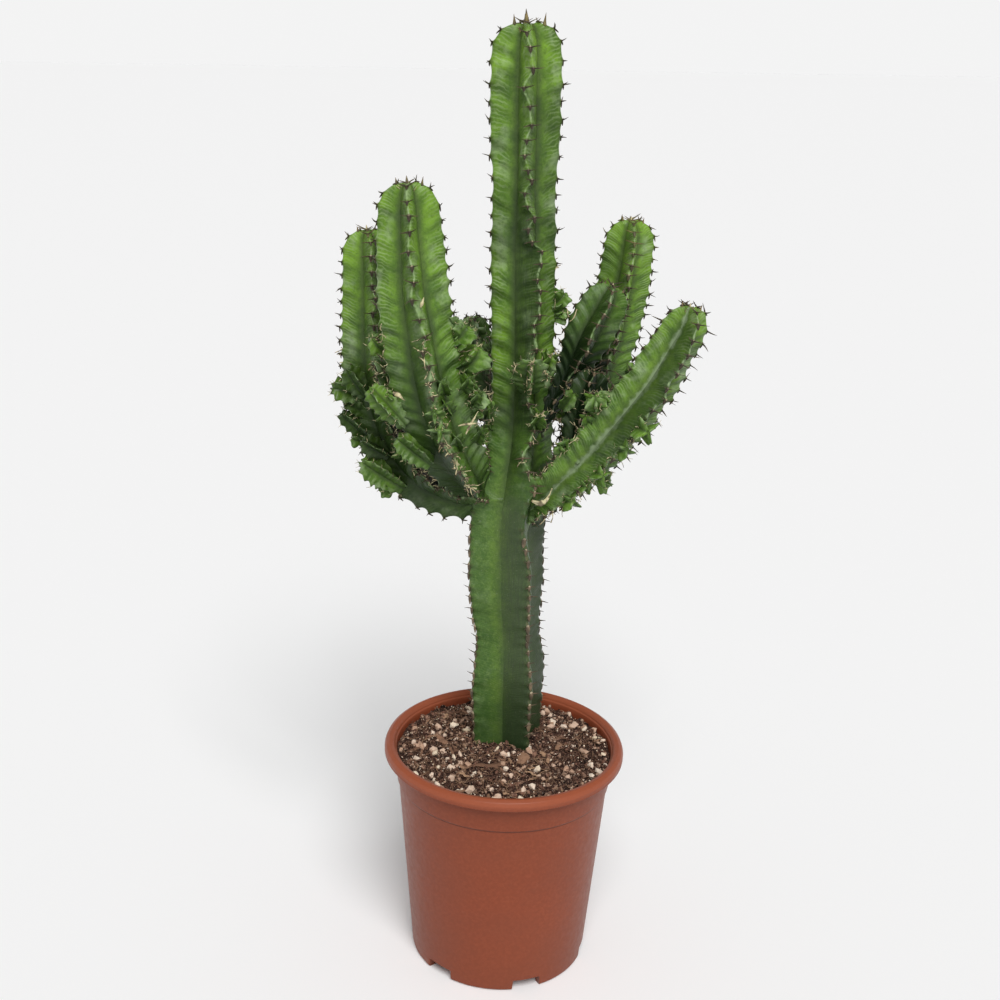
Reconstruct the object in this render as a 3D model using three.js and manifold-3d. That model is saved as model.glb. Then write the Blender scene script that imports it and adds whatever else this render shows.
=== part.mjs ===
// A candelabra euphorbia with four-ribbed stems, growing in a round plastic nursery pot.
// Millimetres, +Z up, +X to the right of the front view and +Y away from the viewer.
// The origin is on the pot's axis, in the plane that the pot stands on.
import * as THREE from "three";
import { mergeVertices } from "three/addons/utils/BufferGeometryUtils.js";
import Module from "manifold-3d";

const wasm = await Module();
wasm.setup();

// ---------------------------------------------------------------- driving dimensions

const SEAT_GAP = 0.3; // between pieces that touch

const POT = {
  height: 166,
  rimRadius: 85,
  wall: 1.3,
  footRadius: 63.5, // outer radius of the wall at the floor
  flare: 0.0819, // growth of the radius per millimetre of height
  collarHeight: 137, // where the wall steps out
  collarStep: 1,
  underRim: 158.6, // lower edge of the rolled rim
  floorUnderside: 8.5, // height of the feet
  floorThickness: 1.6,
  hubRadius: 9, // central foot
  footRingInner: 58,
  sides: 36,
};
// Notches part the foot ring into feet; the first lies 17 degrees from the front towards +X.
const FEET = { count: 6, notchDegrees: 19, firstNotch: 17, rounding: 2.5 };
const DRAIN = { radius: 4, distance: 46, sides: 8 };

const SOIL = {
  level: 157.5,
  mound: 3, // how much higher the soil lies at the stem
  moundReach: 34,
  roughness: 1.1,
  rings: 7,
  seed: 11,
  grains: 28,
  grainSizes: [1.7, 3.9], // half lengths
};
// Bark chips lie on the soil: [x, y, length, width, heading in degrees]
const CHIPS = [
  [-12, -26, 27, 5, 8],
  [13, -16, 12, 8, 60],
  [-44, 8, 13, 6, 120],
];

const RIBS = 4;
// A quarter of the stem's section, as [distance, sideways] shares of the rib radius, from a rib's
// crest to the groove; the groove's point lies midway between two ribs.
const FLANK = [0.7, 0.14];
const GROOVE = 0.42;

// Spines stand in pairs. root is half the width of a spine's foot; the rest are shares of length.
const SPINE = { length: 6, root: 1.1, out: [0.7, 0.9], sideways: [0.5, 0.8], along: [-0.25, 0.25] };
const ROOT_SHARE = 0.16; // the most that root may be of the rib radius
const BETWEEN_TEETH = 0.94; // rib radius between two teeth, as a share of that at a tooth
const BALL_SPACING = 4; // of the balls that stand for a stem where a spine looks for room
const CUT_GROWTH = 0.6; // how much a stem grows to cut its neighbours, so their flanks stay apart

// Each stem: its route as [x, y, z, rib radius] from base to tip, and how far its first rib is
// turned from the front towards +X, as [share of length, degrees]. A slim stem has a plainer section.
const STEMS = {
  main_stem: {
    route: [
      [3.6, 20, 108, 15],
      [3.6, 20, 128, 26],
      [3.6, 20, 151, 27.5],
      [2.9, 20, 186.7, 28.6],
      [2.9, 20, 209, 29.6],
      [1.6, 20, 240, 25.5],
      [0.3, 20, 261, 28],
      [-0.8, 20, 284, 30],
      [-1.3, 20, 314, 28.6],
      [1.2, 20, 343, 26.5],
      [4.9, 20, 375.6, 23.5],
      [5.8, 20, 410.5, 21],
      [4.8, 20, 458, 21.4],
      [3.3, 20, 510.4, 21.4],
      [2.6, 20, 551.5, 20.6],
      [2.2, 20, 579, 22.4],
      [1.6, 20, 606.4, 22.7],
      [1.4, 20, 630, 22.4],
      [0.8, 20, 649, 22],
    ],
    turn: [[0, 29], [0.35, 29], [0.47, 12], [0.915, 7], [1, 7]],
    barePart: 56, // the stretch that is in the soil
  },
  branch_left_front: {
    route: [
      [-7, 17, 336, 8],
      [-18.3, 12, 347.8, 11],
      [-29.7, -2, 363.6, 17.3],
      [-43.4, -16, 389.7, 22.4],
      [-53.5, -24, 419.8, 24],
      [-61.4, -28, 453, 23.5],
      [-66, -30, 486, 23],
      [-68.3, -30, 516.7, 21.5],
      [-69.7, -30, 537.7, 20.5],
      [-71.3, -30, 557.5, 20],
    ],
    turn: [[0, 10], [0.42, 2], [0.62, 12], [0.74, 2], [1, 0]],
  },
  branch_left: {
    route: [
      [-6, 20, 331, 8],
      [-17.9, 18, 337.9, 10],
      [-37.9, 20, 341.9, 15.3],
      [-61.4, 24, 354.7, 19.4],
      [-80.2, 28, 378.2, 21.4],
      [-91.3, 32, 407.2, 21.4],
      [-94.8, 34, 439.9, 20.9],
      [-96.4, 35, 473.6, 19.6],
      [-97.8, 35, 498.7, 18.6],
      [-99.9, 35, 519.5, 18],
    ],
    turn: [[0, 20], [0.5, 10], [1, 7]],
  },
  branch_left_back: {
    route: [
      [2, 24, 382, 7],
      [-1, 34, 389.1, 8.5],
      [-9.6, 54, 402.8, 11.2],
      [-18.9, 68, 425, 11.9],
      [-25.5, 74, 442.1, 11.6],
      [-28, 76, 456, 11],
    ],
    turn: [[0, 10], [1, 10]],
    slim: true,
  },
  branch_right_front: {
    route: [
      [8, 17, 328, 8],
      [17.4, 12, 338.3, 10.5],
      [30.9, 2, 355.5, 16.3],
      [49.1, -6, 378.6, 19.4],
      [68.5, -12, 405.9, 20.4],
      [85.7, -16, 432.5, 19.9],
      [96.1, -18, 453.3, 18.2],
      [103.4, -20, 469.8, 16.5],
      [106.3, -21, 483.5, 15.5],
    ],
    turn: [[0, 20], [1, 20]],
  },
  branch_right_back: {
    route: [
      [13, 25, 345, 7],
      [24.1, 30, 352.7, 9],
      [39.8, 42, 363.7, 13.3],
      [53.8, 52, 382.8, 16.3],
      [62.7, 58, 412.3, 18.4],
      [69.5, 62, 446.9, 18.9],
      [74.7, 64, 481.2, 18],
      [77.3, 65, 507.6, 16.8],
      [78, 65, 525.5, 16],
    ],
    turn: [[0, 10], [1, 10]],
  },
  branch_right_middle: {
    route: [
      [12, 18, 376, 6],
      [22.4, 16, 389.7, 9],
      [31.5, 16, 412, 11.2],
      [39.2, 18, 433.5, 13.3],
      [48.4, 20, 456.1, 16.3],
      [57.5, 22, 475.1, 15.5],
      [62.8, 23, 488, 15],
    ],
    turn: [[0, 0], [1, 0]],
    slim: true,
  },
  branch_right_low: {
    route: [
      [15, 14, 366, 6],
      [23.9, 12, 379.7, 8],
      [30.9, 8, 397.6, 11.2],
      [36.8, 8, 412.8, 13.3],
      [40.5, 10, 423.2, 12.6],
      [42, 11, 432, 12],
    ],
    turn: [[0, 20], [1, 20]],
    slim: true,
  },
};
const STEM_SEED = 7919;
const RING_SPACING = 9.5; // every second ring bears a tooth on a given rib
const CAP_RINGS = [0, 0.36, 0.64, 0.86, 0.97]; // shares of the rounded tip's height

// The rib crests snake sideways in two waves: [share of the rib radius, wavelength].
const CREST_WAVES = [[0.075, 31], [0.04, 18.5]];
const RIB_PHASE = 1.7;

// Young offsets on the ribs: [rib, distance from the stem's base, length, radius, lean along the stem]
const OFFSETS = {
  main_stem: [
    [0, 322, 17, 10, 0.75],
    [1, 331, 9, 6, 0.8],
    [0, 296, 10, 7, 0.5],
    [1, 374, 11, 6, 1],
    [1, 357, 9, 6, 0.4],
    [2, 330, 14, 8, 0.7],
    [2, 392, 10, 7, 0.6],
  ],
  branch_left_front: [
    [1, 142, 10, 7, 0.9],
    [1, 124, 13, 9, 0.8],
    [1, 98, 9, 7, 0.5],
    [3, 146, 8, 6, 0.6],
    [3, 133, 8, 6, 0.5],
    [3, 108, 15, 10, 0.7],
    [3, 76, 12, 9, 0.5],
  ],
  branch_left: [
    [3, 136, 14, 8, 0.8],
    [3, 112, 12, 8, 0.5],
    [3, 79, 17, 10, 0.9],
    [3, 156, 8, 6, 0.8],
    [2, 120, 13, 8, 0.7],
    [2, 86, 12, 8, 0.6],
  ],
  branch_left_back: [],
  branch_right_front: [
    [0, 112, 11, 8, 0.3],
    [3, 104, 10, 7, 0.6],
    [1, 58, 9, 6, 0.3],
    [2, 96, 11, 7, 0.6],
  ],
  branch_right_back: [
    [3, 146, 9, 6, 0.6],
    [2, 104, 12, 8, 0.6],
    [1, 88, 11, 7, 0.5],
  ],
  branch_right_middle: [],
  branch_right_low: [],
};

// A young offset starts inside its rib and widens to a blunt, spiny crown.
const OFFSET = {
  seat: 0.84, // where its line starts, as a share of the rib radius
  profile: [[0, 0.45], [0.4, 0.62], [0.75, 0.95], [1.15, 1.05]], // [share of length, of radius]
  turn: [[0, 38], [1, 52]],
  capShare: 0.3,
  bareShare: 0.7,
};

const COLOURS = {
  pot: 0x9a5238,
  soil: 0x4a3428,
  stem: 0x4c7a2c,
};

// ---------------------------------------------------------------- solids and numbers

function closedSolid(geometry) {
  const bare = geometry.clone();
  bare.deleteAttribute("normal");
  bare.deleteAttribute("uv");
  const merged = mergeVertices(bare, 1e-4);
  return new wasm.Manifold(
    new wasm.Mesh({
      numProp: 3,
      vertProperties: new Float32Array(merged.attributes.position.array),
      triVerts: new Uint32Array(merged.index.array),
    }),
  );
}

function geometryOf(solid) {
  const mesh = solid.getMesh();
  const geometry = new THREE.BufferGeometry();
  geometry.setAttribute("position", new THREE.BufferAttribute(mesh.vertProperties, 3));
  geometry.setIndex(new THREE.BufferAttribute(mesh.triVerts, 1));
  return geometry;
}

// A cut can leave crumbs beside the piece itself: only the largest body is kept.
function largestBody(solid) {
  return solid.decompose().reduce((a, b) => (a.volume() > b.volume() ? a : b));
}

function seededRandom(seed) {
  let state = seed >>> 0;
  return () => {
    state = (state + 0x6d2b79f5) >>> 0;
    let t = state;
    t = Math.imul(t ^ (t >>> 15), t | 1);
    t ^= t + Math.imul(t ^ (t >>> 7), t | 61);
    return ((t ^ (t >>> 14)) >>> 0) / 4294967296;
  };
}

const radians = (degrees) => (degrees * Math.PI) / 180;

function between(table, share) {
  const next = table.findIndex(([at]) => at >= share);
  if (next <= 0) return table[Math.max(next, 0)][1];
  const [a, va] = table[next - 1];
  const [b, vb] = table[next];
  return va + ((vb - va) * (share - a)) / (b - a);
}

// ---------------------------------------------------------------- ribbed stems

// The smooth line through a stem's route, with its frame and rib radius at any distance.
class StemLine {
  constructor({ route, turn, reference = new THREE.Vector3(0, -1, 0), capShare = 1 }) {
    const spline = (points) => new THREE.CatmullRomCurve3(points, false, "catmullrom", 0.5);
    this.centre = spline(route.map(([x, y, z]) => new THREE.Vector3(x, y, z)));
    this.radii = spline(route.map(([, , , r], i) => new THREE.Vector3(i, r, 0)));
    this.turn = turn;
    this.reference = reference;
    this.length = this.centre.getLength();
    this.capLength = route[route.length - 1][3] * capShare;
  }

  // The centre, axis, rib radius and directions of the section at a distance along the stem.
  at(distance) {
    const share = THREE.MathUtils.clamp(distance / this.length, 0, 1);
    const t = this.centre.getUtoTmapping(share);
    const axis = this.centre.getTangent(t);
    const front = this.reference.clone();
    front.addScaledVector(axis, -front.dot(axis)).normalize();
    const side = new THREE.Vector3().crossVectors(axis, front);
    const inCap = Math.max(0, (distance - this.length + this.capLength) / this.capLength);
    const radius = this.radii.getPoint(t).y * Math.sqrt(Math.max(0, 1 - inCap * inCap));
    const turned = radians(between(this.turn, share));
    return { centre: this.centre.getPoint(t), axis, front, side, radius, turned };
  }
}

// The direction away from the axis at an angle from the first rib.
function outwardAt({ front, side, turned }, angle) {
  return front
    .clone()
    .multiplyScalar(Math.cos(turned + angle))
    .addScaledVector(side, Math.sin(turned + angle));
}

function crestShift(distance, rib) {
  return CREST_WAVES.reduce(
    (sum, [share, wave], i) =>
      sum + share * Math.sin((2 * Math.PI * distance) / wave + RIB_PHASE * rib * (i + 1)),
    0,
  );
}

// The distances of a stem's rings: even along the body, closer together over the rounded tip.
function ringDistances(line, spacing, capRings) {
  const body = line.length - line.capLength;
  const count = Math.max(1, Math.round(body / spacing));
  const rings = Array.from({ length: count }, (_, i) => (i * body) / count);
  return rings.concat(capRings.map((share) => body + share * line.capLength));
}

// Section columns between one rib's crest and the next: [distance, sideways, share of the way].
const FULL_SECTION = [[1, 0, 0], [...FLANK, 0], [GROOVE, 0, 0.5], [FLANK[0], -FLANK[1], 1]];
const SLIM_SECTION = [[1, 0, 0], [GROOVE, 0, 0.5]];
const OFFSET_SHAPE = { spacing: 5, section: SLIM_SECTION, capRings: [0, 0.75] };

// A closed ribbed stem; toothAt(distance, crest) says where a pair of spines may stand.
function ribbedStem(line, { spacing, section, capRings, grow = 0, toothAt, random }) {
  const perRing = section.length * RIBS;
  const ribAngle = (2 * Math.PI) / RIBS;
  const vertices = [];
  const faces = [];
  const addVertex = (v) => vertices.push(v) - 1;
  const distances = ringDistances(line, spacing, capRings);
  const places = distances.map((distance) => line.at(distance));

  const rings = places.map((place, ring) =>
    Array.from({ length: perRing }, (_, column) => {
      const rib = Math.floor(column / section.length);
      const [out, sideways, step] = section[column % section.length];
      const angle = (rib + step) * ribAngle;
      const isCrest = column % section.length === 0;
      const notch = isCrest && (ring + rib) % 2 ? BETWEEN_TEETH : 1;
      const wave = step === 0.5 ? 0 : crestShift(distances[ring], (rib + step) % RIBS) * out;
      const outward = outwardAt(place, angle);
      const along = new THREE.Vector3().crossVectors(place.axis, outward);
      const shift = place.radius * (sideways + wave) + Math.sign(sideways) * grow;
      const vertex = place.centre.clone().addScaledVector(outward, place.radius * out * notch + grow);
      return addVertex(vertex.addScaledVector(along, shift));
    }),
  );

  // A tooth puts a small diamond in the place of a crest's vertex, and two spines on the diamond.
  const teeth = new Map();
  places.forEach((place, ring) => {
    for (let rib = ring % 2; rib < RIBS && ring > 0 && !grow; rib += 2) {
      const column = rib * section.length;
      const crest = vertices[rings[ring][column]];
      if (!toothAt(distances[ring], crest)) continue;
      const outward = outwardAt(place, rib * ribAngle);
      const along = new THREE.Vector3().crossVectors(place.axis, outward);
      const root = Math.min(SPINE.root, place.radius * ROOT_SHARE);
      const beside = (step) => {
        const neighbour = vertices[rings[ring][(column + step + perRing) % perRing]];
        return addVertex(crest.clone().add(neighbour.clone().sub(crest).setLength(root)));
      };
      const reach = ([least, most]) => SPINE.length * (least + (most - least) * random());
      const apex = (sign) =>
        addVertex(
          crest
            .clone()
            .addScaledVector(outward, reach(SPINE.out))
            .addScaledVector(along, sign * reach(SPINE.sideways))
            .addScaledVector(place.axis, reach(SPINE.along)),
        );
      teeth.set(ring + ":" + column, {
        up: addVertex(crest.clone().addScaledVector(place.axis, root)),
        down: addVertex(crest.clone().addScaledVector(place.axis, -root)),
        plus: beside(1),
        minus: beside(-1),
        spinePlus: apex(1),
        spineMinus: apex(-1),
      });
    }
  });

  // The corners of each cell, counter-clockwise as seen from outside. A tooth gives a cell two.
  const corner = (ring, column, order) => {
    const tooth = teeth.get(ring + ":" + column);
    return tooth ? order.map((name) => tooth[name]) : [rings[ring][column]];
  };
  for (let ring = 0; ring + 1 < rings.length; ring++) {
    for (let column = 0; column < perRing; column++) {
      const next = (column + 1) % perRing;
      const corners = [
        corner(ring, column, ["up", "plus"]),
        corner(ring, next, ["minus", "up"]),
        corner(ring + 1, next, ["down", "minus"]),
        corner(ring + 1, column, ["plus", "down"]),
      ];
      // The cell is a fan round the plain corner that shares a ring with the tooth.
      const toothCorner = corners.findIndex((c) => c.length === 2);
      const start = toothCorner < 0 ? column % 2 : toothCorner ^ 1;
      const outline = [...corners.slice(start), ...corners.slice(0, start)].flat();
      for (let i = 1; i + 1 < outline.length; i++) faces.push([outline[0], outline[i], outline[i + 1]]);
    }
  }
  for (const { up, down, plus, minus, spinePlus, spineMinus } of teeth.values()) {
    faces.push([up, down, spinePlus], [down, plus, spinePlus], [plus, up, spinePlus]);
    faces.push([up, minus, spineMinus], [minus, down, spineMinus], [down, up, spineMinus]);
  }

  const last = rings.length - 1;
  const bottom = addVertex(places[0].centre.clone());
  const top = addVertex(line.at(line.length).centre);
  for (let column = 0; column < perRing; column++) {
    const next = (column + 1) % perRing;
    faces.push([bottom, rings[0][next], rings[0][column]]);
    const tipFace = corner(last, column, ["up", "plus"]).concat(corner(last, next, ["minus", "up"]));
    for (let i = 0; i + 1 < tipFace.length; i++) faces.push([top, tipFace[i], tipFace[i + 1]]);
  }
  return new wasm.Manifold(
    new wasm.Mesh({
      numProp: 3,
      vertProperties: new Float32Array(vertices.flatMap((v) => v.toArray())),
      triVerts: new Uint32Array(faces.flat()),
    }),
  );
}

// ---------------------------------------------------------------- the plant

// The same work on every value of a named list.
const forEachName = (list, work) =>
  Object.fromEntries(Object.entries(list).map(([name, value]) => [name, work(value, name)]));

const lines = forEachName(STEMS, (stem) => new StemLine(stem));

// A young offset's own line: it starts inside its rib and widens to a blunt crown.
function offsetLine(stemLine, [rib, distance, length, radius, lean]) {
  const place = stemLine.at(distance);
  const outward = outwardAt(place, (rib * 2 * Math.PI) / RIBS);
  const heading = outward.clone().addScaledVector(place.axis, lean).normalize();
  const crest = place.centre.clone().addScaledVector(outward, place.radius * OFFSET.seat);
  const route = OFFSET.profile.map(([along, wide]) => [
    ...crest.clone().addScaledVector(heading, along * length).toArray(),
    wide * radius,
  ]);
  return new StemLine({ route, turn: OFFSET.turn, reference: place.axis, capShare: OFFSET.capShare });
}

const offsetLines = forEachName(OFFSETS, (list, name) =>
  list.map((offset) => offsetLine(lines[name], offset)),
);

// Balls along each line stand for it where a spine looks for room.
function ballsAlong(line) {
  const count = Math.ceil(line.length / BALL_SPACING);
  return Array.from({ length: count + 1 }, (_, i) => {
    const { centre, radius } = line.at((i * line.length) / count);
    return { centre, radius };
  });
}

const stemBalls = forEachName(lines, ballsAlong);
const offsetBalls = forEachName(offsetLines, (list) => list.flatMap(ballsAlong));

const isOutside = (balls, point, room) => balls.every((b) => b.centre.distanceTo(point) > b.radius + room);

// Whether a spine at this point keeps off the other stems and their offsets.
function keepsOffOthers(point, name) {
  return Object.keys(lines)
    .filter((other) => other !== name)
    .every((other) => isOutside([...stemBalls[other], ...offsetBalls[other]], point, SPINE.length));
}

// A stem without its spines, and its offsets without theirs, grown to cut what grows against them.
function grownParts(name) {
  const stem = ribbedStem(lines[name], { ...stemShape(name), grow: CUT_GROWTH });
  const offsets = offsetLines[name].map((line) => ribbedStem(line, { ...OFFSET_SHAPE, grow: CUT_GROWTH }));
  return [stem, ...offsets];
}

function stemShape(name) {
  const section = STEMS[name].slim ? SLIM_SECTION : FULL_SECTION;
  return { spacing: RING_SPACING, section, capRings: CAP_RINGS };
}

function stemSolid(name, earlier) {
  const { barePart = 0 } = STEMS[name];
  const random = seededRandom(STEM_SEED + earlier.length);
  const toothAt = (distance, crest) =>
    distance > barePart && isOutside(offsetBalls[name], crest, 0) && keepsOffOthers(crest, name);
  let body = ribbedStem(lines[name], { ...stemShape(name), toothAt, random });
  for (const line of offsetLines[name]) {
    const onCrown = (distance, crest) =>
      distance > line.length * OFFSET.bareShare && keepsOffOthers(crest, name);
    body = body.add(ribbedStem(line, { ...OFFSET_SHAPE, toothAt: onCrown, random }));
  }
  for (const part of earlier.flatMap(grownParts)) body = body.subtract(part);
  return largestBody(body);
}

// ---------------------------------------------------------------- the pot

function wallRadius(height) {
  return POT.footRadius + POT.flare * height + (height > POT.collarHeight ? POT.collarStep : 0);
}

// A profile of [radius, height] turned round the pot's axis.
function turnedBody(profile) {
  const points = profile.map(([radius, height]) => new THREE.Vector2(radius, height));
  return new THREE.LatheGeometry(points, POT.sides).rotateX(Math.PI / 2);
}

function potSolid() {
  const { wall, height, rimRadius, underRim, collarHeight, floorUnderside } = POT;
  const floorTop = floorUnderside + POT.floorThickness;
  const underRimWall = wallRadius(underRim);
  const inside = (z) => [wallRadius(z) - wall, z];
  const profile = [
    [0, 0],
    [POT.hubRadius, 0],
    [POT.hubRadius + 1, floorUnderside],
    [POT.footRingInner - 1.5, floorUnderside],
    [POT.footRingInner, 0],
    [POT.footRadius - 1.2, 0],
    [wallRadius(1.3), 1.3],
    [wallRadius(collarHeight), collarHeight],
    [wallRadius(collarHeight + 1), collarHeight + 1],
    // the rolled rim is open underneath
    [underRimWall, underRim],
    [underRimWall + 0.6, underRim + 4],
    [rimRadius - 3, underRim + 5],
    [rimRadius - 1.2, underRim + 3],
    [rimRadius - 1, underRim],
    [rimRadius, underRim],
    [rimRadius, height - 4.2],
    [rimRadius - 1.1, height - 1.5],
    [rimRadius - 3.6, height],
    [rimRadius - 6.3, height - 0.6],
    [rimRadius - 7.5, height - 2.2],
    [rimRadius - 7.7, height - 3.4],
    [underRimWall - wall + 0.3, height - 4],
    inside(collarHeight + 1),
    inside(collarHeight),
    inside(floorTop + 1),
    [wallRadius(floorTop) - wall - 1, floorTop],
    [0, floorTop],
  ];
  let pot = closedSolid(turnedBody(profile));

  const halfWidth = POT.footRadius * Math.tan(radians(FEET.notchDegrees / 2));
  const notch = new THREE.Shape()
    .moveTo(-halfWidth, -1)
    .lineTo(halfWidth, -1)
    .lineTo(halfWidth, floorUnderside - FEET.rounding)
    .lineTo(halfWidth - FEET.rounding, floorUnderside)
    .lineTo(FEET.rounding - halfWidth, floorUnderside)
    .lineTo(-halfWidth, floorUnderside - FEET.rounding);
  for (let i = 0; i < FEET.count; i++) {
    const angle = radians(FEET.firstNotch) + (i * 2 * Math.PI) / FEET.count;
    const cutter = new THREE.ExtrudeGeometry(notch, { depth: 24, bevelEnabled: false })
      .rotateX(Math.PI / 2)
      .translate(0, -(POT.footRingInner - 8), 0)
      .rotateZ(angle);
    const hole = new THREE.CylinderGeometry(DRAIN.radius, DRAIN.radius, 20, DRAIN.sides)
      .rotateX(Math.PI / 2)
      .translate(0, -DRAIN.distance, floorTop)
      .rotateZ(angle);
    pot = pot.subtract(closedSolid(cutter)).subtract(closedSolid(hole));
  }
  return pot;
}

// ---------------------------------------------------------------- the soil

const [footX, footY, , footRadius] = STEMS.main_stem.route[2];
const fromStem = (x, y) => Math.hypot(x - footX, y - footY);

function soilHeight(x, y) {
  const away = fromStem(x, y) / SOIL.moundReach;
  const broad = Math.sin(0.31 * x + 1.1) * Math.cos(0.27 * y);
  const lumps = broad + 0.6 * Math.sin(0.55 * x - 0.43 * y + 2);
  return SOIL.level + SOIL.mound * Math.exp(-away * away) + SOIL.roughness * lumps;
}

function soilSolid() {
  const side = (z) => [wallRadius(z) - POT.wall - SEAT_GAP, z];
  const bottom = POT.floorUnderside + POT.floorThickness + SEAT_GAP;
  const edge = wallRadius(SOIL.level) - POT.wall - SEAT_GAP;
  const ringAt = (_, i) => [edge * (1 - i / SOIL.rings), SOIL.level];
  const surface = Array.from({ length: SOIL.rings + 1 }, ringAt);
  const profile = [
    [0, bottom],
    [side(bottom)[0] - 1, bottom],
    side(bottom + 1),
    side(POT.collarHeight),
    side(POT.collarHeight + 1.2),
    ...surface,
  ];
  const body = turnedBody(profile);
  const places = body.attributes.position;
  for (let i = 0; i < places.count; i++) {
    const isSurface = places.getZ(i) === Math.fround(SOIL.level);
    if (isSurface) places.setZ(i, soilHeight(places.getX(i), places.getY(i)));
  }
  let soil = closedSolid(body);

  const random = seededRandom(SOIL.seed);
  const [smallest, largest] = SOIL.grainSizes;
  const size = () => smallest + (largest - smallest) * random() ** 2;
  for (let placed = 0; placed < SOIL.grains; ) {
    const angle = 2 * Math.PI * random();
    const distance = (edge - largest) * Math.sqrt(random());
    const [x, y] = [distance * Math.cos(angle), distance * Math.sin(angle)];
    const grain = new THREE.OctahedronGeometry(1)
      .scale(size(), size(), size())
      .rotateX(random() * Math.PI)
      .rotateZ(random() * Math.PI)
      .translate(x, y, soilHeight(x, y) + 0.6);
    if (fromStem(x, y) < footRadius) continue;
    soil = soil.add(closedSolid(grain));
    placed++;
  }
  for (const [x, y, length, width, heading] of CHIPS) {
    const chip = new THREE.BoxGeometry(length, width, 2.4, 4, 1, 1);
    const corners = chip.attributes.position;
    for (let i = 0; i < corners.count; i++) {
      const across = corners.getX(i) / length;
      corners.setZ(i, corners.getZ(i) - 8 * across * across);
    }
    chip.rotateZ(radians(heading)).translate(x, y, soilHeight(x, y) + 2);
    soil = soil.add(closedSolid(chip));
  }
  return largestBody(soil.subtract(grownParts("main_stem")[0]));
}

// ---------------------------------------------------------------- assembly

const plant = new THREE.Group();

function addPiece(name, solid, color, roughness) {
  const material = new THREE.MeshStandardMaterial({ color, roughness, metalness: 0 });
  const piece = new THREE.Mesh(geometryOf(solid), material);
  piece.name = name;
  plant.add(piece);
}

addPiece("pot", potSolid(), COLOURS.pot, 0.45);
addPiece("soil", soilSolid(), COLOURS.soil, 0.95);
Object.keys(STEMS).forEach((name, i, all) => {
  addPiece(name, stemSolid(name, all.slice(0, i)), COLOURS.stem, 0.55);
});

export default plant;
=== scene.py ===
"""A potted four-ribbed euphorbia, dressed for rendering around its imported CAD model.

The numbers that shape it are millimetres, as in the CAD source; new_piece turns them into metres.
+Z is up, +X right in the front view, +Y away from the camera, and the origin is on the pot's axis.
"""
import math

import bmesh
import bpy
import numpy as np
from mathutils import Matrix, Vector, noise
from mathutils.bvhtree import BVHTree


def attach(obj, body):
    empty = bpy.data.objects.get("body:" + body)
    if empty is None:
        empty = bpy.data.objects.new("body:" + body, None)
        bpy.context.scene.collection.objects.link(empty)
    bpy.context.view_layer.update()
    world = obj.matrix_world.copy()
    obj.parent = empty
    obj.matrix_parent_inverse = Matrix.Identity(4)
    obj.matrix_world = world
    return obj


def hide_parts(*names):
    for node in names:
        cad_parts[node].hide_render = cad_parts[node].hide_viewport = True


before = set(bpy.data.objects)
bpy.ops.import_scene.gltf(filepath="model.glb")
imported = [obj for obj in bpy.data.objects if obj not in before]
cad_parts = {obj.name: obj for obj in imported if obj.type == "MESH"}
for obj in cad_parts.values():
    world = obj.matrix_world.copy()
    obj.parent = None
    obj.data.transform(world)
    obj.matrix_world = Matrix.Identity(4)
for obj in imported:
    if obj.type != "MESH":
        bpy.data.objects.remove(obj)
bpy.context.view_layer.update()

MM = 0.001
TAU = 2 * math.pi

# ---------------------------------------------------------------- the CAD source's dimensions

POT = dict(
    height=166, rim=85, wall=1.3, foot=63.5, flare=0.0819, collar=137, collar_step=1,
    under_rim=158.6, floor=8.5, floor_thickness=1.6, hub=9, foot_inner=58,
)
FEET = dict(count=6, half_angle=9.5, first=17, rounding=2.5)
SOIL = dict(level=157.5, mound=3, reach=34, roughness=1.1, centre=(3.6, 20))
# Large bark chips: x, y, length, width, and heading in degrees.
CHIPS = [(-12, -26, 27, 5, 8), (13, -16, 12, 8, 60), (-44, 8, 13, 6, 120)]

RIBS = 4
# A groove's distance from the stem's axis, as a share of the rib radius.
GROOVE = 0.42
# The ribs snake in waves, as (share of the rib radius, length), which differ by a phase from rib to rib.
CREST_WAVES = [(0.075, 31), (0.04, 18.5)]
RIB_PHASE = 1.7

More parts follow.
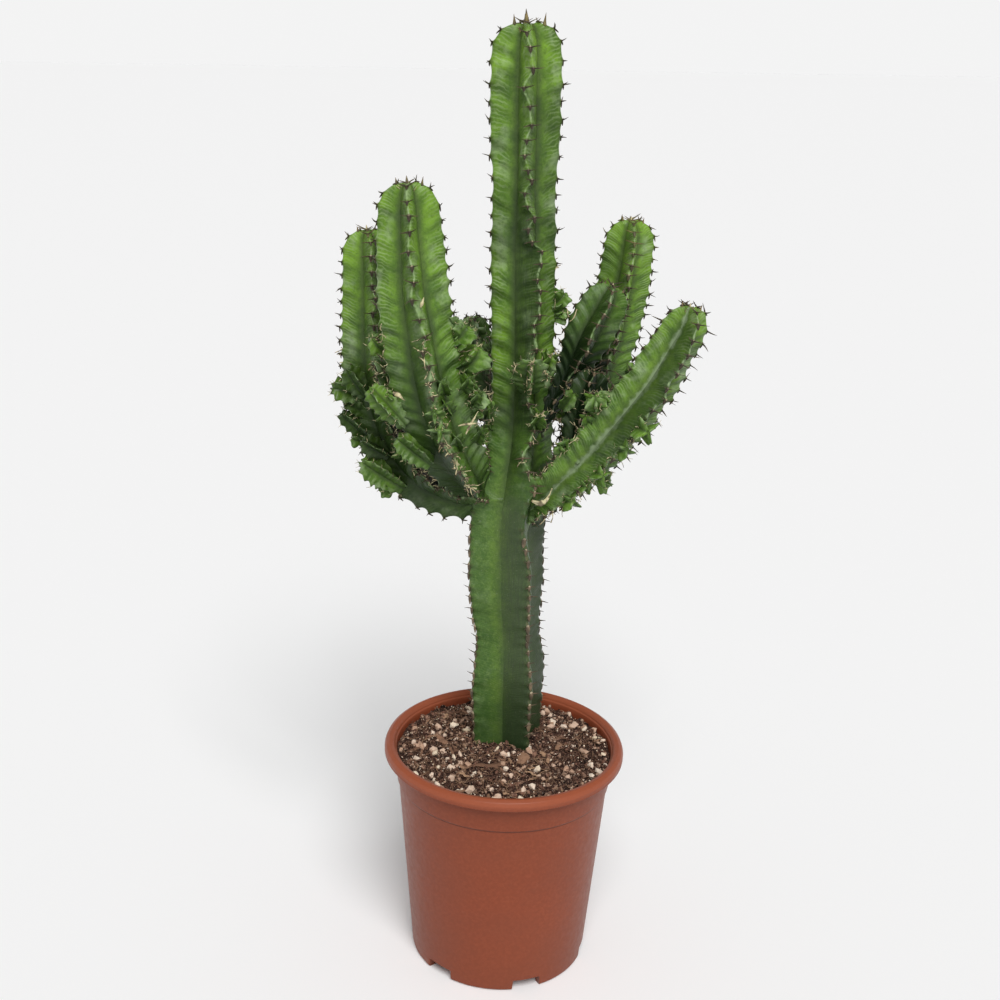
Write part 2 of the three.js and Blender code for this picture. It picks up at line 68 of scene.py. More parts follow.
# Each stem: its route as x, y, z, rib radius, and how far its first rib is turned from the front,
# in degrees, by the share of the length or the same for all of it.
MAIN = "main_stem"
STEMS = {
    MAIN: dict(
        route=[
            (3.6, 20, 108, 15), (3.6, 20, 128, 26), (3.6, 20, 151, 27.5), (2.9, 20, 186.7, 28.6),
            (2.9, 20, 209, 29.6), (1.6, 20, 240, 25.5), (0.3, 20, 261, 28), (-0.8, 20, 284, 30),
            (-1.3, 20, 314, 28.6), (1.2, 20, 343, 26.5), (4.9, 20, 375.6, 23.5), (5.8, 20, 410.5, 21),
            (4.8, 20, 458, 21.4), (3.3, 20, 510.4, 21.4), (2.6, 20, 551.5, 20.6), (2.2, 20, 579, 22.4),
            (1.6, 20, 606.4, 22.7), (1.4, 20, 630, 22.4), (0.8, 20, 649, 22),
        ],
        turn=[(0, 29), (0.35, 29), (0.47, 12), (0.915, 7), (1, 7)],
        power=2.7,
    ),
    "branch_left_front": dict(
        route=[
            (-11, 23, 338, 6), (-23, 13, 349, 10), (-31.5, -1, 364.5, 16.8), (-43.4, -16, 389.7, 22.4),
            (-53.5, -24, 419.8, 24), (-61.4, -28, 453, 23.5), (-66, -30, 486, 22.6), (-68.3, -30, 516.7, 21),
            (-69.5, -30, 537.7, 19.1), (-70.6, -30, 557.5, 17.8),
        ],
        turn=[(0, 10), (0.42, 2), (0.62, 12), (0.74, 2), (1, 0)],
    ),
    "branch_left": dict(
        route=[
            (-6, 20, 334, 8), (-17.9, 18, 340.5, 9.6), (-37.9, 20, 342.6, 15.3), (-61.4, 24, 354.7, 19.4),
            (-80.2, 28, 378.2, 21.4), (-91.3, 32, 407.2, 21.4), (-94.8, 34, 439.9, 20.9),
            (-96.2, 35, 473.6, 19.2), (-97, 35, 498.7, 17.8), (-98.6, 35, 520.5, 16.6),
        ],
        turn=[(0, 20), (0.5, 10), (1, 7)],
    ),
    "branch_left_back": dict(
        route=[
            (2, 24, 382, 7), (-1, 34, 389.1, 8.5), (-9.6, 54, 402.8, 11.2), (-18.9, 68, 425, 11.9),
            (-25.5, 74, 442.1, 11.6), (-28, 76, 456, 11),
        ],
        turn=10,
    ),
    "branch_right_front": dict(
        route=[
            (8, 17, 328, 8), (17.4, 12, 338.3, 10.5), (30.9, 2, 355.5, 16.3), (49.1, -6, 378.6, 19.4),
            (68.5, -12, 405.9, 20.4), (85.7, -16, 432.5, 19.9), (96.1, -18, 453.3, 18.2),
            (103.4, -20, 469.8, 16.5), (106.3, -21, 483.5, 15.5),
        ],
        turn=20,
    ),
    "branch_right_back": dict(
        route=[
            (13, 25, 340, 7), (24.1, 31, 344, 8), (38.5, 43, 354, 11), (48.8, 53, 378, 12.8),
            (58.8, 58, 412.3, 16), (68.4, 62, 446.9, 18.4), (74.7, 64, 481.2, 18), (77.3, 65, 507.6, 16.8),
            (78, 65, 525.5, 16),
        ],
        turn=[(0, 0), (1, 4)],
    ),
    "branch_right_middle": dict(
        route=[
            (12, 18, 385, 4), (22, 18, 401, 5), (32, 20, 418, 7), (39.8, 20, 435, 11),
            (48.4, 20, 456.1, 16.3), (57.5, 22, 475.1, 15.5), (62.8, 23, 488, 15),
        ],
        turn=0,
    ),
    "branch_right_low": dict(
        route=[
            (40, 0, 374, 6), (41.5, 3, 386, 9), (44, 6, 401, 11.5), (47.5, 8, 415, 12),
            (50.5, 10, 426, 11.5), (52, 11, 434, 11),
        ],
        turn=-6,
    ),
}

# Young offsets: rib, distance from the stem's base, length, radius, lean along the stem, and turn.
OFFSETS = {
    MAIN: [
        (1, 357, 9, 6, 0.4, 50), (1, 366, 12, 7.5, 1, 30), (2, 330, 15, 10, 0.7, 40),
        (2, 392, 10, 7, 0.6, 40),
    ],
    "branch_left_front": [
        (1, 142, 14, 10, 0.9, 25), (1, 124, 18, 12, 0.8, 60), (1, 98, 12, 9, 0.5, 40),
    ],
    "branch_left": [
        (2, 120, 15, 10, 0.7, 40), (2, 86, 14, 10, 0.6, 60),
    ],
    "branch_right_front": [
        (0, 112, 13, 9, 0.3, 40), (3, 104, 12, 9, 0.6, 20), (1, 58, 11, 8, 0.3, 50), (2, 96, 13, 9, 0.6, 30),
    ],
    "branch_right_back": [(3, 146, 10, 7, 0.6, 40), (2, 104, 14, 9, 0.6, 20), (1, 88, 13, 9, 0.5, 60)],
}
# An offset starts at this share of its parent's rib radius, swells as shares of its own length and
# radius, and ends in a cap, as a share of its last radius.
OFFSET_SEAT = 0.84
OFFSET_PROFILE = [(0, 0.32), (0.3, 0.5), (0.62, 1.0), (1.1, 1.15)]
OFFSET_CAP = 0.35

# ---------------------------------------------------------------- how the fine surfaces look

# Leafy shoots that the photo shows: from, to, radius, turn of the first rib, and shade.
SHOOTS = {
    "branch_left": [
        ((-101, 28, 411), (-121.5, 24, 416), 9.5, 40, 0.5), ((-99, 24, 411), (-111.5, 18, 430), 8, 20, 0.65),
        ((-95, 24, 380), (-115.5, 20, 399), 6, 25, 0.8), ((-83, 18, 371), (-101, 12, 382.5), 7, 15, 0.75),
        ((-73, 20, 348), (-101, 12, 368), 10.5, 30, 0.05), ((-98, 28, 396), (-113, 24, 407), 6, 50, 0.7),
    ],
    "branch_left_front": [
        ((-80, -20, 448), (-92, -27, 461), 8, 20, 0.1), ((-77, -22, 438), (-90, -26, 447.5), 6.5, 40, 0.6),
        ((-75, -20, 429), (-88, -24, 437), 6, 30, 0.75), ((-71, -28, 405), (-93, -32, 430), 8, -8, 0.1),
        ((-54, -26, 379), (-76, -28, 396.5), 8.5, 30, 0.3),
        ((-45.5, -33, 427.5), (-48.5, -44, 438), 5.5, 40, 0.1),
        ((-34.5, -25, 428), (-31, -36, 438.5), 6, 48, 0.1), ((-41.5, -31, 414), (-46, -42, 423.5), 5, 1, 0.3),
        ((-29, -21, 417.5), (-25, -32, 427.5), 5.5, 48, 0.2),
        ((-48, -33, 400), (-53, -44, 409), 5.5, 28, 0.25),
        ((-36.5, -26, 389.5), (-38.5, -37, 400.5), 5.5, 30, 0.35),
        ((-25, -13, 390.5), (-22, -24, 402), 5.5, 37, 0.2), ((-20, -7, 403), (-17.5, -18, 414), 5, 17, 0.3),
    ],
    MAIN: [
        ((9, 4, 420), (9, -10, 445), 12, -6, 0.3), ((18, 4, 435), (22.5, -6, 447), 7, 40, 0.0),
        ((14, 4, 397), (17, -9, 409), 7, 40, 0.1), ((32, 8, 408), (38.5, 2, 420), 6.5, 30, 0.15),
    ],
}
SHOOT_PROFILE = [(0, 0.5), (0.3, 0.85), (0.62, 1.0), (1.0, 0.8)]
SHOOT_CAP = 0.75

# The share of a flank over which its groove is rounded.
HOLLOW = 0.2

# A look says, along a stem as (distance from its base, value) or as one value for all of it:
#   pitch   the distance between two teeth of a rib
#   zigzag  how far a tooth stands beside its rib's line
#   swell   the height of the swellings on the flanks
#   tooth   the height of the fleshy teeth
#   spine   the length of the spines
#   wave    the share of the CAD's snaking
#   groove  as GROOVE, which is the CAD's own
#   hollow  as HOLLOW
#   young   how fresh the green is, from 0 at the old base to 1, and more at the growing point
#   rim     1 where the horny edge and the spines are, 0 where a rib is bare
#   pale    how pale the grooves are, with a line along each
#   grey    how grey and dark the flanks of the ribs 0 and 3 are, at the front: partly grey skin, partly painted shade
#   shade   how deep the stem stands in the shade of the others
# dark lists the flanks, as (rib, side), that have all of that shade, or is None where each one has;
# less is the share of it that the other flanks have, and own adds shade to single flanks.


def branch_look(length, pitch, swell=0.6, old=0.3, fresh=0.95, pale=0, shade=0.4, dark=None,
                reach=(0.5, 0.85), less=0.5):
    """old and fresh are the green at the base and near the tip; reach says between which shares
    of the length the shade ends."""
    return dict(
        pitch=[(0, 7), (0.25 * length, pitch), (length, pitch), (length + 15, 0.65 * pitch)],
        zigzag=[(0, 1.2), (0.5 * length, 1.0), (0.8 * length, 0.7), (length, 0.3)],
        swell=[(0, 0.2), (0.4 * length, swell), (length, 0.5 * swell)],
        young=[(0, old), (0.35 * length, old + 0.1), (0.8 * length, 0.9 * fresh), (length - 4, fresh),
               (length + 8, 1.25)],
        tooth=[(0, 1.9), (0.55 * length, 1.8), (0.8 * length, 1.0), (length, 0.7)],
        spine=[(0, 3.6), (0.3 * length, 4.8), (0.7 * length, 6), (length, 6.4)],
        wave=[(0, 0.8), (0.7 * length, 0.7), (length, 0.35)],
        groove=[(0, GROOVE), (0.55 * length, GROOVE), (0.9 * length, 0.29)], hollow=HOLLOW,
        rim=1, pale=pale, grey=[(0, 0.3), (length, 0.4)],
        shade=[(0, shade), (reach[0] * length, 0.85 * shade), (reach[1] * length, 0.0)],
        dark=dark, less=less, own={},
    )


LOOKS = {
    MAIN: dict(
        pitch=[(0, 8), (105, 8), (132, 6.5), (160, 8), (236, 8), (330, 11.4), (540, 11.4), (565, 7)],
        zigzag=[(0, 0.25), (225, 0.3), (245, 0.8), (330, 1.2), (480, 1.2), (560, 0.4)],
        swell=[(0, 0), (236, 0.05), (270, 0.4), (545, 0.35)],
        young=[(0, 0.0), (225, 0.1), (237, 0.18), (262, 0.42), (300, 0.7), (335, 0.92), (385, 0.9),
               (410, 0.8), (490, 0.84), (515, 0.97), (545, 1), (560, 1.25)],
        tooth=[(0, 0.45), (225, 0.5), (245, 1.2), (330, 1.0), (480, 0.75), (560, 1.0)],
        spine=[(0, 4.8), (236, 5), (262, 6.6), (345, 6.2), (400, 5.6), (500, 6.2), (560, 6)],
        wave=[(0, 0.15), (225, 0.2), (245, 0.5), (560, 0.6)],
        groove=[(0, GROOVE), (370, GROOVE), (470, 0.31), (560, 0.27)],
        rim=[(0, 1), (217, 1), (222, 0), (241, 0), (246, 1), (560, 1)], pale=0,
        shade=[(0, 0.5), (225, 0.45), (236, 0.5), (250, 0.1), (345, 0), (362, 0.4), (374, 0.12), (391, 0.4),
               (402, 0.15), (420, 0.6), (432, 0.18), (451, 0.45), (467, 0.15), (483, 0.42), (494, 0.35),
               (503, 0.1), (515, 0), (560, 0.1)],
        own={(3, 1): [(275, 0), (286, 0.4), (297, 0.6), (309, 0.3), (318, 0), (393, 0), (403, 0.35),
                      (430, 0.25), (445, 0)],
             (0, -1): [(0, 0.6), (60, 0.5), (80, 0.35), (105, 0.18), (125, 0)]},
        dark=[(0, 1), (1, -1)], less=0.0, hollow=[(0, 0.38), (215, 0.38), (245, HOLLOW), (560, HOLLOW)],
        grey=[(0, 0), (240, 0.2), (278, 0.3), (289, 0.9), (310, 0.9), (325, 0.45), (348, 0.85), (425, 0.8),
              (440, 0.35), (468, 0.05), (545, 0)],
    ),
    "branch_left_front": dict(
        branch_look(253, 9.8, old=0.5, fresh=1, shade=0.85, dark=[(0, -1), (3, 1)], reach=(0.28, 0.7),
                    less=0.3),
        grey=[(0, 0), (80, 0.1), (150, 0.35), (253, 0.4)],
    ),
    "branch_left": dict(
        branch_look(237, 8.6, old=0.5, fresh=1.03), grey=[(0, 0), (100, 0.1), (237, 0.4)],
        shade=[(0, 0.2), (22, 0.4), (50, 0.75), (123, 0.76), (175, 0)],
    ),
    "branch_left_back": branch_look(107, 6, swell=0.4, fresh=0.7, shade=0.9, dark=[]),
    "branch_right_front": dict(
        branch_look(199, 8, old=0.6, pale=0.75, dark=[(0, -1), (0, 1)], less=0.0),
        shade=[(0, 0), (65, 0), (100, 0.5), (160, 0.45), (195, 0)],
    ),
    "branch_right_back": dict(
        branch_look(211, 7.4, fresh=1.12, shade=0.85, reach=(0.38, 0.62)),
        swell=[(0, 0.2), (70, 0.8), (120, 0.7), (165, 0.3), (211, 0.2)], grey=[(0, 0.3), (211, 0)],
    ),
    "branch_right_middle": branch_look(126, 8, fresh=0.6, shade=1.0, reach=(0.45, 0.95)),
    "branch_right_low": branch_look(74, 6.5, swell=0.4, fresh=0.45, shade=0.92, reach=(0.8, 1.4)),
}
# The main stem's front rib meanders: (distance, sideways), with a tooth at each row.
MEANDER = [
    (196, 0), (205, -0.5), (213, -1.5), (220, -2), (230, 0), (239, 2.5), (247, 6.5), (252, 7),
    (261, 1), (270, -4), (280, 1), (288, 3.5), (298, 2.5), (306, -1), (317, -2),
    (325, -1.5), (334, 1), (342, 4), (352, 2.5), (358, 2.5), (364, 6), (372, 6.5),
    (380, 6.5), (387, 4.5), (397, 7), (405, 7.5), (411, 1), (419, -1.5), (426, 2.5),
    (433, -2), (441, -4), (449, 0.5), (455, -2), (464, -4.5), (473, -3.5), (482, -0.5),
    (493, -1.5), (504, -5.5), (515, 0), (527, -2), (536, -4.5), (547, -2),
]
OFFSET_LOOK = dict(
    pitch=5.5, zigzag=[(0, 0.4), (20, 0.6)], swell=[(0, 0.1), (20, 0.2)],
    young=[(0, 0.5), (8, 0.7), (20, 0.85)], tooth=[(0, 0.8), (9, 1.3), (20, 1.6)],
    spine=[(0, 1.8), (20, 2.6)], wave=0.4, groove=[(0, 0.3), (12, 0.2)], hollow=HOLLOW,
    rim=1, pale=0, grey=0, shade=[(0, 0.5), (8, 0)], dark=None, less=1, own={},
)
# Small buds and dried spines stand in rows on some ribs: rib, from, to, how many.
BUDS = {
    MAIN: [(1, 290, 366, 4), (3, 258, 306, 7), (2, 300, 400, 4)],
    "branch_left_front": [(3, 60, 120, 2), (1, 56, 160, 9), (0, 70, 130, 2)],
    "branch_left": [(3, 60, 130, 3), (2, 60, 150, 3), (0, 70, 150, 4), (1, 90, 150, 2)],
    "branch_right_front": [(3, 30, 120, 5), (0, 20, 100, 4), (2, 40, 110, 3)],
    "branch_right_back": [(3, 60, 160, 5), (2, 60, 150, 3), (1, 60, 120, 2)],
    "branch_left_back": [(0, 50, 95, 3), (3, 50, 90, 2)],
}
DRIED = {
    MAIN: [(0, 247, 345, 26), (1, 240, 400, 26), (3, 252, 312, 44)],
    "branch_left_front": [(0, 45, 110, 100), (0, 110, 160, 40), (1, 50, 150, 90), (3, 50, 160, 70)],
    "branch_left": [(0, 40, 150, 80), (3, 60, 165, 60), (1, 60, 140, 50), (2, 60, 150, 30)],
    "branch_right_front": [(3, 20, 115, 90), (0, 15, 115, 90), (1, 20, 90, 30)],
    "branch_right_back": [(3, 20, 150, 36), (0, 30, 120, 20), (1, 30, 110, 40)],
    "branch_right_middle": [(3, 20, 90, 12), (0, 20, 70, 6)],
    "branch_right_low": [(3, 20, 70, 10)],
}
# Loose dead scales and a twig: the points they pass, width, and thickness as a share of the width.
FLAKES = [
    ([(13, -10, 349.5), (18, -12, 348), (21.5, -13, 350), (26, -13, 359)], 4.8, 0.3),
    ([(-78, -48, 432), (-74.5, -50, 430.5), (-70.5, -49, 427)], 3.2, 0.3),
    ([(-61.5, -50.5, 485.5), (-60.5, -51, 488.5), (-59.5, -50.5, 491.5)], 2.2, 0.3),
    ([(-37.5, -46, 410.5), (-30, -46, 412), (-21.5, -46, 412.5)], 1.6, 0.8),
    ([(-32.5, -45, 405), (-29.5, -45, 411.5), (-25, -45, 420)], 2, 0.5),
]
# Tufts of dried spines among the leafy shoots: the place, how many they are, and how long.
TUFTS = [
    ((0, -11, 441), 5, 3.4), ((-2, -9, 437), 3, 3), ((1, -12, 431), 5, 3.4),
    ((7, -17, 444), 8, 3.6), ((10, -17, 442), 5, 3), ((6, -18, 435), 4, 2.6),
    ((19, -12, 434), 5, 3.2), ((22, -10, 429), 4, 3), ((21, -11, 448), 12, 2.6),
    ((24, -9, 450), 6, 2.4), ((16, -15, 413), 10, 3), ((20, -13, 409), 5, 2.6),
    ((9, -20, 418), 4, 4),
]
# ring is the distance between two rings of a surface; crest is how blunt a rib's crest is, and
# scallop how deep it dips between two teeth, as shares of the rib radius; drop is how far a swelling
# comes down on its way to the groove, bare the length of the base without spines, and flesh the
# share of a flank that a fleshy tooth takes.
STEM_SHAPE = dict(ring=0.9, crest=0.055, scallop=0.025, drop=8, bare=56, flesh=0.06)
BRANCH_SHAPE = dict(STEM_SHAPE, bare=8, flesh=0.1)
OFFSET_SHAPE = dict(ring=0.5, crest=0.06, scallop=0.06, drop=1.5, bare=3, flesh=0.12)
# Steps from a rib's crest towards the groove, which is at 1.
FLANK_STEPS = (0, 0.012, 0.03, 0.06, 0.1, 0.17, 0.25, 0.34, 0.44, 0.55, 0.66, 0.77, 0.87, 0.94, 0.98)
# The uneven lumps of a skin are waves, TAU times as long as these.
LUMP_LENGTHS = (4.3, 7.9, 13.0)
# How far the hollow reaches where two stems meet.
FILLET = 7.0
# The balls along a stem's core are this share of its rib radius, and its ribs lie within balls that
# are larger than those by RIB_REACH.
CORE_SHARE, RIB_REACH = 0.8, 1.4
# Stems crowd one another by those balls: each one's share, what still looks free, how fast the
# shade deepens beyond that, and how deep it gets.
CROWD_SHARE, CROWD_FREE, CROWD_SHADE, CROWD_MOST = 0.3, 0.18, 1.3, 0.8
# Spines grow where they have this much room, and on this share of a sprout's teeth.
SPINE_ROOM, SPROUT_ROOM, SPINY = 0.6, 0.2, 0.6
# The horn at the top of each rib: its way out as a share of the rib radius, and its length. The
# leaf at the growing point is this long and thick on the main stem.
HORNS = [(0.22, 3), (0.5, 5.5), (0.3, 4), (0.36, 4.5)]
LEAF_LENGTH = 10.5
LEAF_RADII = (1.04, 1.3, 1.3, 1.04, 0.585, 0.13)
# The first seed for each kind of random draws, and how many seeds each stem's sprouts have.
SEEDS = dict(soil=41, flakes=60, stems=100, spines=500, buds=700, tufts=760, sprouts=900)
SPROUT_SEEDS = 40


# ---------------------------------------------------------------- small tools

def table(rows, at):
    """Values at distances, from rows of (distance, value) or from one value for all."""
    if np.ndim(rows) == 0:
        return np.full(np.shape(at), float(rows))
    rows = np.array(rows, float)
    return np.interp(at, rows[:, 0], rows[:, 1])


def unit(vectors):
    return vectors / np.linalg.norm(vectors, axis=-1, keepdims=True)


def add_object(name, data):
    made = bpy.data.objects.new(name, data)
    bpy.context.scene.collection.objects.link(made)
    return made


def new_piece(name, vertices, faces, material, slot, replaces=(), smooth=True, **attributes):
    """A mesh of vertices in millimetres and arrays of faces, riding on the one body."""
    mesh = bpy.data.meshes.new(name)
    mesh.vertices.add(len(vertices))
    mesh.vertices.foreach_set("co", (np.asarray(vertices, float) * MM).ravel())
    loops = np.concatenate([np.asarray(f).ravel() for f in faces])
    sizes = np.concatenate([np.full(len(f), np.asarray(f).shape[1]) for f in faces])
    mesh.loops.add(len(loops))
    mesh.loops.foreach_set("vertex_index", loops.astype(np.int32))
    mesh.polygons.add(len(sizes))
    mesh.polygons.foreach_set("loop_start", (np.cumsum(sizes) - sizes).astype(np.int32))
    mesh.update(calc_edges=True)
    mesh.polygons.foreach_set("use_smooth", np.full(len(sizes), smooth))
    for key, values in attributes.items():
        layer = mesh.attributes.new(key, "FLOAT", "POINT")
        layer.data.foreach_set("value", np.asarray(values, np.float32).ravel())
    mesh.materials.append(material)
    piece = add_object(name, mesh)
    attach(piece, "root")
    if replaces:
        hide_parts(*replaces)
    return piece


def grid_faces(rings, columns, start=0):
    """Quads between rings of columns that close on themselves."""
    here = start + np.arange((rings - 1) * columns).reshape(rings - 1, columns)
    beside = np.roll(here, -1, axis=1)
    return np.stack([here, beside, beside + columns, here + columns], -1).reshape(-1, 4)


def fan_faces(centre, ring, flip=False):
    """Triangles from a ring to its centre."""
    beside = np.roll(ring, -1)
    order = [beside, ring] if flip else [ring, beside]
    return np.stack([np.full(len(ring), centre), *order], -1)


def closed_faces(rings, columns, low, high, start=0):
    """A grid's quads, with fans that close its first and last ring to the vertices low and high."""
    first = start + np.arange(columns)
    return [grid_faces(rings, columns, start), fan_faces(low, first, flip=True),
            fan_faces(high, first + (rings - 1) * columns)]


def copies(template_size, template_faces, places):
    """A template's faces for each of its copies, whose vertices are places, (n, vertices, 3)."""
    count = len(places)
    step = template_size * np.arange(count)[:, None, None]
    return places.reshape(-1, 3), [(np.asarray(f)[None] + step).reshape(-1, np.asarray(f).shape[1])
                                   for f in template_faces]


def tubes(paths, radii, sides=6, flat=1.0, reference=(0.31, 0.17, 0.93)):
    """Closed tapering tubes along many paths: (n, m, 3) points and (n, m) radii. Also gives each
    vertex's share of the way along its tube."""
    count, steps = radii.shape
    axis = unit(np.gradient(paths, axis=1))
    across = unit(np.cross(axis, np.broadcast_to(np.array(reference), axis.shape)))
    over = np.cross(axis, across)
    turn = np.arange(sides) * TAU / sides
    ring = across[:, :, None] * np.cos(turn)[:, None] + over[:, :, None] * np.sin(turn)[:, None] * flat
    body = paths[:, :, None] + ring * radii[:, :, None, None]
    places = np.concatenate([paths[:, :1], body.reshape(count, -1, 3), paths[:, -1:]], axis=1)
    faces = closed_faces(steps, sides, 0, 1 + steps * sides, start=1)
    share = np.concatenate([[0], np.repeat(np.linspace(0, 1, steps), sides), [1]])
    vertices, faces = copies(2 + steps * sides, faces, places)
    return vertices, faces, np.tile(share, count)


def ball(rings=7, columns=10):
    """A unit ball's vertices and faces."""
    height = np.linspace(-math.pi / 2, math.pi / 2, rings + 2)[1:-1]
    turn = np.arange(columns) * TAU / columns
    body = np.stack([
        np.outer(np.cos(height), np.cos(turn)), np.outer(np.cos(height), np.sin(turn)),
        np.repeat(np.sin(height)[:, None], columns, 1),
    ], -1).reshape(-1, 3)
    vertices = np.concatenate([[[0, 0, -1]], body, [[0, 0, 1]]])
    return vertices, closed_faces(rings, columns, 0, 1 + rings * columns, start=1)


def pebble():
    """A unit icosahedron's vertices and triangles."""
    made = bmesh.new()
    bmesh.ops.create_icosphere(made, subdivisions=1, radius=1)
    vertices = np.array([v.co[:] for v in made.verts])
    faces = np.array([[v.index for v in f.verts] for f in made.faces])
    made.free()
    return vertices, faces


# ---------------------------------------------------------------- materials

class Nodes:
    """A material's node tree, built by short calls that return sockets. A colour is a socket or its
    red, green and blue; the material's own is laid on in coats."""

    def __init__(self, name):
        self.material = bpy.data.materials.new(name)
        self.material.use_nodes = True
        self.tree = self.material.node_tree
        self.colour = None

    def feed(self, node, inputs):
        for key, value in inputs.items():
            if isinstance(value, bpy.types.NodeSocket):
                self.tree.links.new(value, node.inputs[key])
            else:
                node.inputs[key].default_value = value

    def node(self, kind, inputs=None, **settings):
        node = self.tree.nodes.new(kind)
        for key, value in settings.items():
            setattr(node, key, value)
        self.feed(node, inputs or {})
        return node

    def attribute(self, name):
        return self.node("ShaderNodeAttribute", attribute_name=name).outputs["Fac"]

    def place(self):
        return self.node("ShaderNodeTexCoord").outputs["Object"]

    def upward(self, vector):
        """A vector's upward part; that of a place is its height in metres."""
        return self.node("ShaderNodeSeparateXYZ", {0: vector}).outputs["Z"]

    def vector_math(self, operation, *values):
        return self.node("ShaderNodeVectorMath", dict(enumerate(values)), operation=operation).outputs[0]

    def noise(self, scale, detail=3, roughness=0.5, shift=0, stretch=None):
        """Noise over the object's places. A shift takes it from elsewhere, so that it differs."""
        vector = self.place()
        if shift:
            vector = self.vector_math("ADD", vector, (shift, shift, shift))
        if stretch:
            vector = self.vector_math("MULTIPLY", vector, stretch)
        inputs = {"Scale": scale, "Detail": detail, "Roughness": roughness, "Vector": vector}
        return self.node("ShaderNodeTexNoise", inputs).outputs["Fac"]

    def math(self, operation, *values):
        return self.node("ShaderNodeMath", dict(enumerate(values)), operation=operation).outputs[0]

    def times(self, product, *factors):
        for factor in factors:
            product = self.math("MULTIPLY", product, factor)
        return product

    def span(self, value, low, high, to_low=0.0, to_high=1.0, smooth=False):
        inputs = {"Value": value, "From Min": low, "From Max": high, "To Min": to_low, "To Max": to_high}
        kind = "SMOOTHSTEP" if smooth else "LINEAR"
        return self.node("ShaderNodeMapRange", inputs, interpolation_type=kind).outputs[0]

    def ramp(self, value, *stops):
        node = self.node("ShaderNodeValToRGB", {"Fac": value})
        elements = node.color_ramp.elements
        while len(elements) < len(stops):
            elements.new(1.0)
        for element, (at, colour) in zip(elements, stops):
            element.position = at
            element.color = (*colour, 1)
        return node.outputs["Color"]

    def mix(self, share, *colours):
        """From one colour, at share 0, to another."""
        first, second = ((*c, 1) if isinstance(c, tuple) else c for c in colours)
        return self.node("ShaderNodeMix", {0: share, 6: first, 7: second}, data_type="RGBA").outputs[2]

    def coat(self, share, colour):
        self.colour = self.mix(share, self.colour, colour)

    def bump(self, height, strength, distance):
        inputs = {"Height": height, "Strength": strength, "Distance": distance}
        return self.node("ShaderNodeBump", inputs).outputs["Normal"]

    def finish(self, roughness, normal=None, specular=0.5):
        inputs = {"Base Color": self.colour, "Roughness": roughness, "Specular IOR Level": specular}
        if normal is not None:
            inputs["Normal"] = normal
        self.feed(self.tree.nodes["Principled BSDF"], inputs)
        return self.material


def skin_ground(n, flank, young, pale):
    """Green from old skin to young, yellower beside the groove."""
    n.colour = n.ramp(
        young, (0, (0.064, 0.125, 0.026)), (0.16, (0.066, 0.130, 0.026)), (0.5, (0.112, 0.228, 0.030)),
        (0.78, (0.132, 0.255, 0.027)), (1, (0.172, 0.322, 0.028)),
    )
    band = n.times(n.span(flank, 0.3, 0.85, smooth=True), n.span(young, 0.1, 0.9, 0.8, 0.0))
    n.coat(band, (0.115, 0.205, 0.026))
    n.coat(n.times(n.span(flank, 0.25, 0.8, smooth=True), pale, 0.5), (0.17, 0.27, 0.04))


def skin_mottling(n, flank, young):
    """Broad dark patches, pale whitish patches of painted highlight, and the fine mottling of the skin."""
    n.coat(n.span(n.noise(60), 0.40, 0.66, 0, 0.7), (0.038, 0.092, 0.014))
    # painted highlight: pale whitish patches near the crests of young skin, where glossy bulges would shine
    painted_highlight = n.span(n.noise(60, roughness=0.6, shift=3.7), 0.52, 0.68, 0, 0.8)
    painted_highlight = n.times(painted_highlight, n.span(flank, 0.45, 0.7, 1, 0.15), n.span(young, 0.2, 0.5, 0.25, 1))
    n.coat(painted_highlight, (0.31, 0.41, 0.22))
    middling = n.span(n.noise(150, 4, 0.65, shift=6.1), 0.46, 0.66, 0, 0.5)
    n.coat(n.times(middling, n.span(young, 0.85, 1.0, 1, 0.35)), (0.036, 0.085, 0.018))
    n.coat(n.span(n.noise(520, 4, 0.7), 0.5, 0.78, 0, 0.46), (0.21, 0.30, 0.08))
    n.coat(n.span(n.noise(380, 4, 0.7, shift=9.1), 0.5, 0.8, 0, 0.62), (0.022, 0.055, 0.010))


def skin_waves(n, streak):
    """Waves that run down from the teeth, four to a tooth."""
    wander = n.times(n.noise(110), 0.7)
    turns = n.times(n.math("ADD", streak, wander), 4 * TAU)
    return n.span(n.math("SINE", turns), -0.1, 1, smooth=True)


def skin_streaks(n, waves, flank, young):
    """Pale streaks along the waves, on the middle of a flank."""
    window = n.times(n.span(flank, 0.02, 0.15, 0.6, 1), n.span(flank, 0.3, 0.72, 1, 0))
    patchy = n.span(n.noise(55, 2, shift=5.5), 0.3, 0.65, 0.2, 1)
    strength = n.times(n.span(young, 0.3, 0.8, 0.05, 0.6), patchy)
    n.coat(n.times(waves, window, strength), (0.29, 0.40, 0.17))


def skin_groove(n, flank, young, pale, grey):
    """Grey flanks, partly the old skin's own grey and partly painted shade; painted shade in the groove,
    deepest on young skin; and the pale line along it.
    """
    streaky = n.span(n.noise(900, 2, stretch=(1, 1, 0.06)), 0.35, 0.65, 0.75, 1)
    # the grey coat: the old skin's own grey, with painted shade on the front flanks of ribs 0 and 3
    grey_and_shade_colour = n.mix(n.span(young, 0.25, 0.55), (0.044, 0.062, 0.029), (0.022, 0.041, 0.014))
    n.coat(n.times(grey, streaky), grey_and_shade_colour)
    # painted shade in the groove, where the flanks meet
    groove = n.times(n.span(flank, 0.62, 0.97, smooth=True), n.span(young, 0.05, 0.4, 0.1, 0.62))
    n.coat(n.times(groove, n.span(pale, 0, 1, 1, 0.5)), (0.045, 0.066, 0.026))
    line = n.math("ADD", flank, n.span(n.noise(190, roughness=0.6, shift=7.7), 0.3, 0.7, -0.14, 0.10))
    n.coat(n.times(n.span(line, 0.76, 0.98, smooth=True), pale, 0.7), (0.30, 0.38, 0.24))


